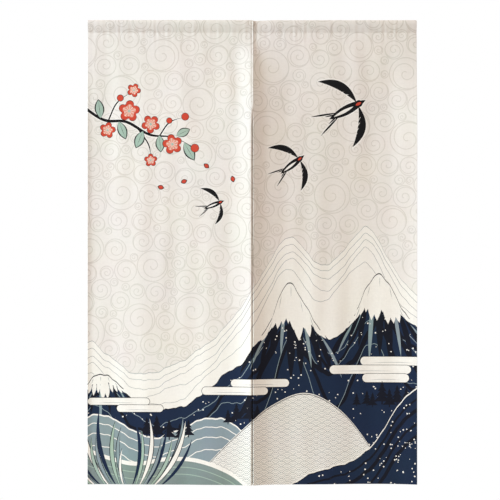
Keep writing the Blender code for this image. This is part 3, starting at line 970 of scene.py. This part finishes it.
def dye_triangles(dyes, shapes, middles):
    """The dye and mark at each triangle's middle: those of the last shape whose outline holds it."""
    colours = np.tile(np.array(dyes.ground, float), (len(middles), 1))
    marks = np.zeros((len(middles), len(PLAIN)))
    for shape in shapes:
        low, high = extent(shape.outline)
        near = np.flatnonzero(((middles >= low) & (middles <= high)).all(axis=1))
        if len(near):
            held = near[inside(middles[near], shape.outline)]
            colours[held], marks[held] = getattr(dyes, shape.dye), shape.mark
    return colours, marks


def border(panel, points):
    """Indices of the flat cloth's border points in order round it, from the lower left corner."""
    x, v = points.T
    width = panel.right - panel.left
    low, high, end = panel.left + NEAR_BORDER, panel.right - NEAR_BORDER, END_V - NEAR_BORDER
    way = np.full(len(points), -1.0)
    way = np.where(x < low, 2 * width + END_V + (END_V - v), way)
    way = np.where(v > end, width + END_V + (panel.right - x), way)
    way = np.where((x > high) & (v < end), width + v, way)
    way = np.where(v < NEAR_BORDER, x - panel.left, way)
    found = np.flatnonzero(way >= 0)
    return found[np.argsort(way[found])]


def border_triangles(triangles, loop, count):
    """The triangle that each stretch of the border belongs to, found by its edge's two points."""
    keys = (triangles * count + np.roll(triangles, -1, axis=1)).ravel()
    order = np.argsort(keys)
    wanted = loop * count + np.roll(loop, -1)
    return order[np.minimum(np.searchsorted(keys[order], wanted), len(keys) - 1)] // 3


def add_piece(name, points, faces, material):
    """A smooth-shaded mesh object at the origin, linked into the scene."""
    mesh = bpy.data.meshes.new(name)
    mesh.from_pydata(points, [], faces)
    mesh.shade_smooth()
    mesh.materials.append(material)
    piece = bpy.data.objects.new(name, mesh)
    bpy.context.scene.collection.objects.link(piece)
    return piece


def hang_panel(cloth, dyes, panel, material):
    """One panel: cut flat, dyed, hung in its folds, with a printed face, a back and turned edges."""
    shapes = print_shapes(dyes.seed)
    points, triangles = cut_cloth(cloth, panel, shapes)
    x, v = points.T
    loop = border(panel, points)
    count, ring = len(points), len(loop)

    face_lift, rear_lift = front_lift(cloth, panel, x, v), back_lift(cloth, panel, x, v)
    on_side = (x[loop] < panel.left + NEAR_BORDER) | (x[loop] > panel.right - NEAR_BORDER)
    on_end = (v[loop] < NEAR_BORDER) | (v[loop] > END_V - NEAR_BORDER)
    out_x = np.where(on_side, np.sign(x[loop] - (panel.left + panel.right) / 2), 0.0)
    out_v = np.where(on_end, np.sign(v[loop] - HEIGHT / 2), 0.0)
    bulge = (face_lift[loop] - rear_lift[loop]) * EDGE_BULGE
    edge_lift = (face_lift[loop] + rear_lift[loop]) / 2
    places = np.vstack([
        hung(cloth, panel, x, v, face_lift), hung(cloth, panel, x, v, rear_lift),
        hung(cloth, panel, x[loop] + out_x * bulge, v[loop] + out_v * bulge, edge_lift),
    ])
    rim = 2 * count + np.arange(ring)
    ahead, rim_ahead = np.roll(loop, -1), np.roll(rim, -1)
    face_rim = np.column_stack([ahead, loop, rim, rim_ahead])
    rear_rim = np.column_stack([rim_ahead, rim, loop + count, ahead + count])
    faces = [*triangles.tolist(), *(triangles[:, ::-1] + count).tolist()]
    piece = add_piece(
        panel.name + "_panel_cloth", places, faces + face_rim.tolist() + rear_rim.tolist(), material
    )
    outward = np.column_stack([out_x, np.zeros(ring), out_v])
    piece.data.normals_split_custom_set_from_vertices(np.vstack([
        surface_normals(cloth, panel, x, v, front_lift), -surface_normals(cloth, panel, x, v, back_lift),
        unit(outward),
    ]))

    edge_of = border_triangles(triangles, loop, count)
    dye_panel(cloth, dyes, panel, piece.data, shapes, points[triangles].mean(axis=1), edge_of)
    flat = np.vstack([points, points, points[loop]])
    write_attribute(piece.data, "flat", "FLOAT_VECTOR", "POINT", np.column_stack([flat, 0.0 * flat[:, 0]]))
    lay_out(piece.data, panel, points, triangles, ring)
    print(piece.name, "has", len(triangles) * 2 + ring * 4, "triangles")
    return piece


BACK_TONE = 0.94  # of the undyed cloth, seen from behind
TURNED_TONE = 0.97  # of the hems' turned face


def write_attribute(mesh, name, kind, domain, values):
    attribute = mesh.attributes.new(name, kind, domain)
    attribute.data.foreach_set("color" if kind == "FLOAT_COLOR" else "vector", values.ravel())


def dye_panel(cloth, dyes, panel, mesh, shapes, middles, edge_of):
    """Writes each face's dye, and its mark as the scroll's place and the strength and turn of patterns.

    The pocket and the hems are darkened by painted shade, for the light that their second layer keeps
    from coming through. The back shows the dyes faded into the ground, but for the hems, which are
    turned over to show the printed face.
    """
    colours, marks = dye_triangles(dyes, shapes, middles)
    turned_over = hem_amount(cloth, panel, *middles.T)[:, None] > 0.0
    in_pocket = (middles[:, 1] > SEWN_V)[:, None]
    # Painted shade: the pocket and the hems are darkened for the light that their second layer keeps from
    # coming through
    hem_painted_shade = (1.0 + dyes.doubled) / 2
    colours = colours * np.where(in_pocket, dyes.doubled, np.where(turned_over, hem_painted_shade, 1.0))
    ground = np.array(dyes.ground)
    faded = ground * BACK_TONE + (colours - ground) * dyes.show_through
    rear = np.where(turned_over, colours * TURNED_TONE, faded)
    rear_marks = marks.copy()
    rear_marks[:, 3:5] *= np.where(turned_over, 1.0, dyes.show_through)
    edges, edge_marks = colours[edge_of], 0.0 * marks[edge_of]
    paint = np.vstack([colours, rear, edges, edges])
    marks = np.vstack([marks, rear_marks, edge_marks, edge_marks])
    write_attribute(mesh, "dye", "FLOAT_COLOR", "FACE", np.column_stack([paint, np.ones(len(paint))]))
    write_attribute(mesh, "scroll", "FLOAT_VECTOR", "FACE", np.ascontiguousarray(marks[:, :3]))
    write_attribute(mesh, "pattern", "FLOAT_VECTOR", "FACE", np.ascontiguousarray(marks[:, 3:]))


def lay_out(mesh, panel, points, triangles, ring):
    """The cloth's own map: printed face in the left half, back in the right half, edges in a strip."""
    across = (points[:, 0] - panel.left) / (panel.right - panel.left) * MAP_WIDTH
    along = MAP_MARGIN + points[:, 1] / END_V * MAP_LENGTH
    face = np.column_stack([MAP_MARGIN + across, along])
    rear = np.column_stack([MAP_BACK - across, along])
    start = np.linspace(MAP_MARGIN, 1 - MAP_MARGIN, ring, endpoint=False)
    end = start + MAP_LENGTH / ring
    corners = [face[triangles].reshape(-1, 2), rear[triangles[:, ::-1]].reshape(-1, 2)]
    for low, high in MAP_STRIPS:
        across = np.tile([low, low, high, high], ring)
        corners.append(np.column_stack([across, np.column_stack([end, start, start, end]).ravel()]))
    layer = mesh.uv_layers.new(name="OFBake")
    layer.data.foreach_set("uv", np.vstack(corners).ravel())


# ---- the sewing

# A straight row of stitches in the flat cloth
Row = collections.namedtuple("Row", "start end on_back")
STITCH_RADII = np.array([0.25, 0.9, 1.0, 1.0, 0.9, 0.25])  # along a stitch, as shares of the thread's
STITCH_SIDES = 6
STITCH_ARCH, STITCH_SUNK = 1.5, 0.55  # how far a stitch rises, and how deep it lies, in thread radii
SIDE_ROW, BOTTOM_ROW = 0.0014, 0.0016  # rows of the hems, inside their inner edge
HEM_ROW_TOP = 0.012  # the hems' rows end so far below the pocket's row
ROW_END = 0.001  # the pocket's rows end so far from the panel's sides
SEAM_OVER = 0.002  # and the seam's row so far from the end of the turned-over cloth
TACK_ROWS, TACK_STEP, TACK_HALF = 6, 0.0006, 0.0030  # the bar tack: its stitches and their half length


def stitches(cloth, panel, row):
    """Rings of points round each stitch of a row, laid on the hung cloth.

    A stitch's middle line rises out of the cloth like half a sine wave.
    """
    start, end = np.array(row.start), np.array(row.end)
    length = np.linalg.norm(end - start)
    run = (end - start) / length
    number = max(1, int(length / (cloth.stitch_length + cloth.stitch_gap)))
    first = (np.arange(number) + 0.5) * length / number - cloth.stitch_length / 2
    share = np.linspace(0.0, 1.0, len(STITCH_RADII))
    radius = cloth.thread * STITCH_RADII[:, None]
    turn = np.arange(STITCH_SIDES) / STITCH_SIDES * 2 * np.pi
    along = first[:, None, None] + (share * cloth.stitch_length)[:, None]
    flat = start + run * along[..., None] + left_of(run) * (radius * np.cos(turn))[..., None]
    arch = STITCH_ARCH * np.sin(np.pi * share) - STITCH_SUNK
    lift = cloth.thread * arch[:, None] + radius * np.sin(turn)
    x, v = flat[..., 0], flat[..., 1]
    if row.on_back:
        return hung(cloth, panel, x, v, back_lift(cloth, panel, x, v) - lift)[:, :, ::-1]
    return hung(cloth, panel, x, v, front_lift(cloth, panel, x, v) + lift)


def sew_rows(cloth, panel, rows, name, material):
    """All stitches of some rows as closed tubes, with quads between their rings and caps at the ends."""
    places = np.concatenate([stitches(cloth, panel, row) for row in rows])
    number, rings, sides = places.shape[:3]
    index = np.arange(number * rings * sides).reshape(number, rings, sides)
    beside = np.roll(index, -1, axis=2)
    quads = np.stack([index[:, :-1], beside[:, :-1], beside[:, 1:], index[:, 1:]], axis=-1)
    caps = np.vstack([index[:, 0, ::-1], index[:, -1]])
    return add_piece(name, places.reshape(-1, 3), quads.reshape(-1, 4).tolist() + caps.tolist(), material)


def hem_rows(cloth, panel):
    """The hems' rows, which show at the back alone, and the pocket's row on both faces."""
    low, top = cloth.bottom_hem - BOTTOM_ROW, SEWN_V - HEM_ROW_TOP
    left, right = panel.left + cloth.side_hem - SIDE_ROW, panel.right - cloth.side_hem + SIDE_ROW
    start, end = panel.left + ROW_END, panel.right - ROW_END
    pocket = [Row((start, v), (end, v), False) for v in (SEWN_V, BACK_SEWN_V)]
    hems = [Row((x, low), (x, top), True) for x in (left, right)]
    return [*pocket, *hems, Row((left, low), (right, low), True)]


def seam_rows():
    """The seam's topstitching down to the slit, and the bar tack that ends it."""
    low = HEIGHT - SEAM_LENGTH
    tack = [low + TACK_STEP * k for k in range(TACK_ROWS)]
    rows = [Row((SEAM_X, END_V - SEAM_OVER), (SEAM_X, low), False)]
    return rows + [Row((SEAM_X - TACK_HALF, v), (SEAM_X + TACK_HALF, v), False) for v in tack]


# ---- the finishes


class Wire:
    """A number that runs from one node to the next: sums, products and so on add the nodes for them."""

    def __init__(self, board, socket):
        self.board, self.socket = board, socket


def wire_maths(operation):
    """What one of Python's signs does with a Wire: it adds the Math node for it."""
    return lambda wire, *others: wire.board.maths(operation, wire, *others)


for sign, operation in (
    ("add", "ADD"), ("sub", "SUBTRACT"), ("mul", "MULTIPLY"), ("truediv", "DIVIDE"), ("pow", "POWER"),
    ("lt", "LESS_THAN"), ("gt", "GREATER_THAN"), ("abs", "ABSOLUTE"),
):
    setattr(Wire, f"__{sign}__", wire_maths(operation))


class Board:
    """Adds nodes to a tree, side by side, and feeds their sockets with values or with other nodes."""

    COLUMNS, WIDTH, HEIGHT = 8, 190, 320

    def __init__(self, tree):
        self.tree, self.count = tree, 0

    def add(self, kind, feeds=None, **settings):
        node = self.tree.nodes.new(kind)
        row, column = divmod(self.count, self.COLUMNS)
        node.location = (column * self.WIDTH, -row * self.HEIGHT)
        self.count += 1
        for name, value in settings.items():
            setattr(node, name, value)
        for name, value in (feeds or {}).items():
            self.feed(node.inputs[name], value)
        return node

    def feed(self, socket, value):
        if isinstance(value, Wire):
            value = value.socket
        if isinstance(value, bpy.types.NodeSocket):
            self.tree.links.new(value, socket)
        else:
            socket.default_value = value

    def maths(self, operation, *values):
        node = self.add("ShaderNodeMath", dict(enumerate(values)), operation=operation)
        return Wire(self, node.outputs[0])

    def split(self, vector):
        """The vector's three numbers."""
        return [Wire(self, out) for out in self.add("ShaderNodeSeparateXYZ", {0: vector}).outputs]

    def noise(self, place, scale, detail, stretch=None):
        """A noise's number and colour, drawn out along the axes by one over the stretch."""
        if stretch:
            place = self.add("ShaderNodeMapping", {0: place, "Scale": stretch}).outputs[0]
        node = self.add("ShaderNodeTexNoise", {"Vector": place, "Scale": scale, "Detail": detail})
        return Wire(self, node.outputs["Fac"]), node.outputs["Color"]

    def blend(self, mode, factor, first, second):
        feeds = {0: factor, 6: first, 7: second}
        return self.add("ShaderNodeMix", feeds, data_type="RGBA", blend_type=mode).outputs[2]

    def ramp(self, value, low, high):
        """The value from 0.3 to 0.7 mapped on to low to high."""
        feeds = {"Value": value, "From Min": 0.3, "From Max": 0.7, "To Min": low, "To Max": high}
        return Wire(self, self.add("ShaderNodeMapRange", feeds).outputs[0])

    def group(self, maker, **feeds):
        """The named group's outputs, with the group made if it isn't there yet."""
        name = maker.__name__
        tree = bpy.data.node_groups.get(name) or maker(bpy.data.node_groups.new(name, "ShaderNodeTree"))
        node = self.add("ShaderNodeGroup", feeds, node_tree=tree)
        return [Wire(self, out) if out.type == "VALUE" else out for out in node.outputs]

    def relief(self, height, strength, distance):
        feeds = {"Height": height, "Strength": strength, "Distance": distance}
        return self.add("ShaderNodeBump", feeds).outputs[0]


SOCKET_KINDS = {"Place": "Vector", "Scroll": "Vector", "Tint": "Color"}  # of the groups, the others Float


def group_sockets(tree, inputs, outputs):
    """Gives a new group its sockets, and returns its board, its inputs and its output node."""
    for labels, way in ((inputs, "INPUT"), (outputs, "OUTPUT")):
        for label in labels.split():
            kind = "NodeSocket" + SOCKET_KINDS.get(label, "Float")
            tree.interface.new_socket(label, in_out=way, socket_type=kind)
    board = Board(tree)
    source = board.add("NodeGroupInput")
    given = [Wire(board, source.outputs[label]) for label in inputs.split()]
    return board, given, board.add("NodeGroupOutput")


YARN_PITCH, WEAVE_DEPTH = 0.0009, 0.00018  # from one yarn to the next, and the weave's relief
SLUBS_ACROSS, SLUBS_ALONG = (26.0, 900.0, 1.0), (900.0, 22.0, 1.0)  # one over the slubs' stretch
PLY_SCALE, PLY_DEPTH = 900.0, 0.00008  # of the thread's slanted ribs


def linen_weave(tree):
    """Plain weave with uneven yarns.

    Height is the larger of the two yarns' waves at each place, one over the other by turns. Slub is
    two streaky noises, one drawn out across the cloth and one along it.
    """
    board, (place, pitch), result = group_sockets(tree, "Place Pitch", "Height Slub")
    x, v, _ = board.split(place)
    warp, weft = board.maths("SINE", x / pitch * math.pi), board.maths("SINE", v / pitch * math.pi)
    over = warp * weft > 0.0
    height = board.maths("MAXIMUM", abs(warp) * over, abs(weft) * board.maths("SUBTRACT", 1.0, over))
    across, _ = board.noise(place, 1.0, 2.0, SLUBS_ACROSS)
    along, _ = board.noise(place, 1.0, 2.0, SLUBS_ALONG)
    board.feed(result.inputs["Height"], height)
    board.feed(result.inputs["Slub"], (across + along) * 0.5)
    return tree


def dye_mottle(tree):
    """Uneven dyeing: a broad and a fine noise, both as shares round one half, and a broad tint."""
    board, (place, patch), result = group_sockets(tree, "Place Patch", "Broad Fine Tint")
    broad, tint = board.noise(place, patch, 3.0)
    fine, _ = board.noise(place, patch * 17.0, 4.0)
    for name, value in (("Broad", broad), ("Fine", fine), ("Tint", tint)):
        board.feed(result.inputs[name], value)
    return tree


SPIRAL_START, SPIRAL_POWER = 0.11, 1.25
SPIRAL_TURNS, SMALL_TURNS, SMALL_SCROLL = 1.70, 1.35, 0.016  # the last is the radius of a small scroll
LINE_WIDTH, LINE_GROWTH = 0.0020, 0.014  # of the line, and how much wider it is per metre of radius
RING_FIRST, RING_STEP, RING_HALF = 0.97, 0.27, 0.13  # of a scale, the last as a share of the step


def scroll_line(tree):
    """1 on a scroll's line, 0 beside it.

    From a way w of 0 at its inner end to 1 where it joins the rim, the spiral's radius is the rim's
    times (0.11 + 0.89 w^1.25). It makes 1.7 turns, or 1.35 on a small scroll, and the rim is a circle.
    """
    board, (place, scroll, turn), result = group_sockets(tree, "Place Scroll Turn", "Line")
    x, v, _ = board.split(place)
    middle_x, middle_v, radius = board.split(scroll)
    across, up = x - middle_x, v - middle_v
    reach = (across * across + up * up) ** 0.5
    width = radius * LINE_GROWTH + LINE_WIDTH
    rim = radius - width * 0.5
    angle = board.maths("ARCTAN2", up, across) / (2 * math.pi)
    wound = board.maths("FRACT", board.maths("SIGN", turn) * (angle - abs(turn)))
    turns = (radius > SMALL_SCROLL) * (SPIRAL_TURNS - SMALL_TURNS) + SMALL_TURNS
    nearest = abs(reach - rim)
    for winding in range(2):
        way = board.maths("MINIMUM", (wound + winding) / turns, 1.0)
        share = way**SPIRAL_POWER * (1 - SPIRAL_START) + SPIRAL_START
        nearest = board.maths("MINIMUM", nearest, abs(reach - rim * share))
    board.feed(result.inputs["Line"], nearest < width * 0.5)
    return tree


def scale_lines(tree):
    """1 on the rings of the traditional pattern of overlapping scales, 0 between them.

    Scales are discs of one radius, side by side in rows. Each row lies half a radius above the one
    in front of it and is shifted by a radius. Of the two discs that may hold a place, the one whose
    middle lies lower is in front. Its rings are 0.27 of a radius apart.
    """
    board, (place, radius), result = group_sockets(tree, "Place Radius", "Line")
    x, v, _ = board.split(place)
    discs = []
    for shift in (0.0, 0.5):
        across = (board.maths("FRACT", x / radius * 0.5 + shift) - 0.5) * 2.0
        up = board.maths("FRACT", v / radius + shift)
        discs.append((up, (across * across + up * up) ** 0.5))
    (up, reach), (other_up, other_reach) = discs
    in_front = board.maths("MAXIMUM", (reach < 1.0) * (up > other_up), other_reach > 1.0)
    shown = other_reach + (reach - other_reach) * in_front
    ring = board.maths("FRACT", board.maths("SUBTRACT", RING_FIRST, shown) / RING_STEP + 0.5) - 0.5
    board.feed(result.inputs["Line"], abs(ring) < RING_HALF)
    return tree


def new_material(name):
    """A material, its board, and its Principled shader's inputs."""
    material = bpy.data.materials.new(name)
    material.use_nodes = True
    return material, Board(material.node_tree), material.node_tree.nodes["Principled BSDF"].inputs


def dye_ratio(dye, under):
    """The colour that turns one dye into another where it is printed over it."""
    return (*(over / below for over, below in zip(dye, under)), 1.0)


def printed_linen(dyes):
    """The panels' cloth: the dye as painted, thinned on slubs, mottled, with painted shade between the
    yarns and the weave in relief.
    """
    material, board, shader = new_material("printed_linen")
    names = ("dye", "flat", "scroll", "pattern")
    dye, flat, scroll, pattern = (board.add("ShaderNodeAttribute", attribute_name=name) for name in names)
    place = flat.outputs["Vector"]
    scrolls, scales, turn = board.split(pattern.outputs["Vector"])
    line, = board.group(scroll_line, Place=place, Scroll=scroll.outputs["Vector"], Turn=turn)
    rings, = board.group(scale_lines, Place=place, Radius=SCALE_RADIUS)
    height, slub = board.group(linen_weave, Place=place, Pitch=YARN_PITCH)
    broad, fine, tint = board.group(dye_mottle, Place=place, Patch=9.0)

    scroll_dye, scale_dye = dye_ratio(dyes.scroll, dyes.ground), dye_ratio(dyes.contour, dyes.cream)
    colour = board.blend("MULTIPLY", line * scrolls, dye.outputs["Color"], scroll_dye)
    colour = board.blend("MULTIPLY", rings * scales, colour, scale_dye)
    colour = board.blend("SOFT_LIGHT", 0.16, colour, tint)
    # Slubs and mottle vary the dye's tone; the weave's height darkens the gaps between the yarns with
    # painted shade
    shade = board.ramp(slub, 0.955, 1.03) * board.ramp(fine, 0.975, 1.02) * (height * 0.06 + 0.955)
    slub_tone_and_gap_shade = board.add("ShaderNodeCombineColor", {0: shade, 1: shade, 2: shade}).outputs[0]
    board.feed(shader["Base Color"], board.blend("MULTIPLY", 1.0, colour, slub_tone_and_gap_shade))
    board.feed(shader["Roughness"], fine * 0.16 + 0.78)
    shader["Specular IOR Level"].default_value = 0.22
    shader["Sheen Weight"].default_value = 0.06
    shader["Sheen Roughness"].default_value = 0.55
    board.feed(shader["Normal"], board.relief(slub * 0.9 + height, 0.35, WEAVE_DEPTH))
    return material


def sewing_thread():
    """Twisted thread: fine slanted ribs with painted shade in the grooves between them, and a slight
    unevenness of its dye.
    """
    material, board, shader = new_material("sewing_thread")
    place = board.add("ShaderNodeTexCoord").outputs["Object"]
    broad, _, tint = board.group(dye_mottle, Place=place, Patch=60.0)
    feeds = {"Vector": place, "Scale": PLY_SCALE}
    ply = Wire(board, board.add("ShaderNodeTexWave", feeds, bands_direction="DIAGONAL").outputs["Fac"])
    # Painted shade: the thread's colour is darker where the ribs' relief is low, in the grooves between
    # them
    colour = board.blend("MIX", ply, (*screen(206, 199, 186), 1.0), (*screen(232, 227, 217), 1.0))
    board.feed(shader["Base Color"], board.blend("SOFT_LIGHT", 0.12, colour, tint))
    board.feed(shader["Roughness"], broad * 0.2 + 0.6)
    board.feed(shader["Normal"], board.relief(ply, 0.4, PLY_DEPTH))
    return material


def pale_floor(colour):
    """A matt floor with faint clouds in its colour."""
    material, board, shader = new_material("pale_floor")
    place = board.add("ShaderNodeTexCoord").outputs["Object"]
    _, _, tint = board.group(dye_mottle, Place=place, Patch=3.0)
    board.feed(shader["Base Color"], board.blend("SOFT_LIGHT", 0.06, (*colour, 1.0), tint))
    shader["Roughness"].default_value = 0.7
    return material


# ---- the operators


def cut_size(cloth, panel):
    """Width and length of the panel's cloth before its hems were turned: each hem is turned twice."""
    x = np.linspace(panel.left, panel.right, MEASURED_PLACES)
    places = middle_at(cloth, panel, x, np.full(len(x), MEASURED_V))
    width = np.linalg.norm(np.diff(places, axis=0), axis=1).sum() + 4 * cloth.side_hem
    return float(width), END_V + 2 * cloth.bottom_hem


def dress(context, panel, *nodes):
    """Hangs a panel in the place of its solids."""
    cloth, dyes = context.scene.curtain_cloth, context.scene.curtain_print
    linen = bpy.data.materials.get("printed_linen") or printed_linen(dyes)
    piece = hang_panel(cloth, dyes, panel, linen)
    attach(piece, "root")
    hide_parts(*nodes)
    return {"FINISHED"}


class CURTAIN_OT_left_panel(bpy.types.Operator):
    """Hang the left panel, which laps over the right one"""

    bl_idname = "curtain.left_panel"
    bl_label = "Left Panel"

    def execute(self, context):
        return dress(context, LEFT_PANEL, "panel_left", "pocket_left")


class CURTAIN_OT_right_panel(bpy.types.Operator):
    """Hang the right panel"""

    bl_idname = "curtain.right_panel"
    bl_label = "Right Panel"

    def execute(self, context):
        return dress(context, RIGHT_PANEL, "panel_right", "pocket_right")


class CURTAIN_OT_sewing(bpy.types.Operator):
    bl_idname = "curtain.sewing"
    bl_label = "Sewing"

    def execute(self, context):
        cloth = context.scene.curtain_cloth
        thread = sewing_thread()
        for panel in (LEFT_PANEL, RIGHT_PANEL):
            sheet = bpy.data.objects.get(panel.name + "_panel_cloth")
            if sheet is None:
                raise RuntimeError("hang the panels before sewing them")
            sewing = [sew_rows(cloth, panel, hem_rows(cloth, panel), panel.name + "_hem_stitches", thread)]
            if panel is LEFT_PANEL:
                sewing.append(sew_rows(cloth, panel, seam_rows(), "seam_stitches", thread))
            for piece in sewing:
                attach(piece, "root")
            cut_size(cloth, panel)
        return {"FINISHED"}


class CURTAIN_OT_stage(bpy.types.Operator):
    """Set up the camera face on, soft lights at the left and behind, light all round and a floor"""

    bl_idname = "curtain.stage"
    bl_label = "Stage"

    def execute(self, context):
        scene, settings = context.scene, context.scene.curtain_stage
        pixel = WIDTH / CURTAIN_PIXELS
        half_frame = FRAME_PIXELS / 2
        distance = FRAME_PIXELS * pixel * LENS / SENSOR
        camera = bpy.data.objects.new("face_on_camera", bpy.data.cameras.new("face_on_camera"))
        camera.data.lens, camera.data.sensor_width = LENS, SENSOR
        across, down = (half_frame - MIDDLE_PIXEL) * pixel, (half_frame - TOP_PIXEL) * pixel
        camera.location = (across, -distance, -down)
        camera.rotation_euler = (math.pi / 2, 0.0, 0.0)
        scene.collection.objects.link(camera)
        scene.camera = camera

        self.add_light(scene, "soft_key", *KEY_LIGHT, settings.key_power, settings.key_colour)
        self.add_light(scene, "soft_back", *BACK_LIGHT, settings.back_power, (1, 1, 1))
        self.light_all_round(scene, settings)
        rim = disc((0.0, 0.0), settings.floor_radius, FLOOR_SIDES)
        level = np.full(len(rim), -HEIGHT - settings.floor_drop)
        add_piece(
            "floor", np.column_stack([rim, level]), [list(range(len(rim)))], pale_floor(settings.floor)
        )
        scene.view_settings.view_transform = "Standard"
        return {"FINISHED"}

    def add_light(self, scene, name, place, size, power, colour):
        """A rectangular light that faces the curtain's middle."""
        light = bpy.data.lights.new(name, "AREA")
        light.shape, light.size, light.size_y = "RECTANGLE", *size
        light.energy, light.color = power, colour
        lamp = bpy.data.objects.new(name, light)
        lamp.location = place
        towards = Vector((0.0, 0.0, -HEIGHT / 2)) - lamp.location
        lamp.rotation_euler = towards.to_track_quat("-Z", "Y").to_euler()
        scene.collection.objects.link(lamp)

    def light_all_round(self, scene, settings):
        """Warm light on the curtain, stronger from the left and from above, and white past it."""
        world = scene.world = bpy.data.worlds.new("white_room")
        world.use_nodes = True
        board = Board(world.node_tree)
        x, _, z = board.split(board.add("ShaderNodeTexCoord").outputs["Generated"])
        glow = x * -settings.side_glow + z * settings.top_glow + 1.0
        ambient = world.node_tree.nodes["Background"]
        ambient.inputs["Color"].default_value = (*settings.ambient_colour, 1.0)
        board.feed(ambient.inputs["Strength"], glow * settings.ambient)
        white = board.add("ShaderNodeBackground", {"Color": (1.0, 1.0, 1.0, 1.0)})
        seen = board.add("ShaderNodeLightPath").outputs["Is Camera Ray"]
        mix = board.add("ShaderNodeMixShader", {0: seen, 1: ambient.outputs[0], 2: white.outputs[0]})
        board.feed(world.node_tree.nodes["World Output"].inputs[0], mix.outputs[0])


class CURTAIN_PT_panel(bpy.types.Panel):
    """Lists the curtain's pieces and their settings"""

    bl_idname = "CURTAIN_PT_panel"
    bl_label = "Doorway Curtain"
    bl_space_type = "VIEW_3D"
    bl_region_type = "UI"
    bl_category = "Curtain"

    def draw(self, context):
        for operator in OPERATORS:
            self.layout.operator(operator.bl_idname)
        for name in SETTINGS:
            box, settings = self.layout.box(), getattr(context.scene, name)
            for setting in type(settings).__annotations__:
                box.prop(settings, setting)


OPERATORS = (CURTAIN_OT_left_panel, CURTAIN_OT_right_panel, CURTAIN_OT_sewing, CURTAIN_OT_stage)
SETTINGS = {"curtain_cloth": CurtainCloth, "curtain_print": CurtainPrint, "curtain_stage": CurtainStage}


def register():
    for name, group in SETTINGS.items():
        bpy.utils.register_class(group)
        setattr(bpy.types.Scene, name, PointerProperty(type=group))
    for operator in OPERATORS:
        bpy.utils.register_class(operator)
    bpy.utils.register_class(CURTAIN_PT_panel)


def unregister():
    bpy.utils.unregister_class(CURTAIN_PT_panel)
    for operator in reversed(OPERATORS):
        bpy.utils.unregister_class(operator)
    for name, group in SETTINGS.items():
        delattr(bpy.types.Scene, name)
        bpy.utils.unregister_class(group)


def main():
    register()
    bpy.ops.curtain.left_panel()
    bpy.ops.curtain.right_panel()
    bpy.ops.curtain.sewing()
    bpy.ops.curtain.stage()


if __name__ == "__main__":
    main()
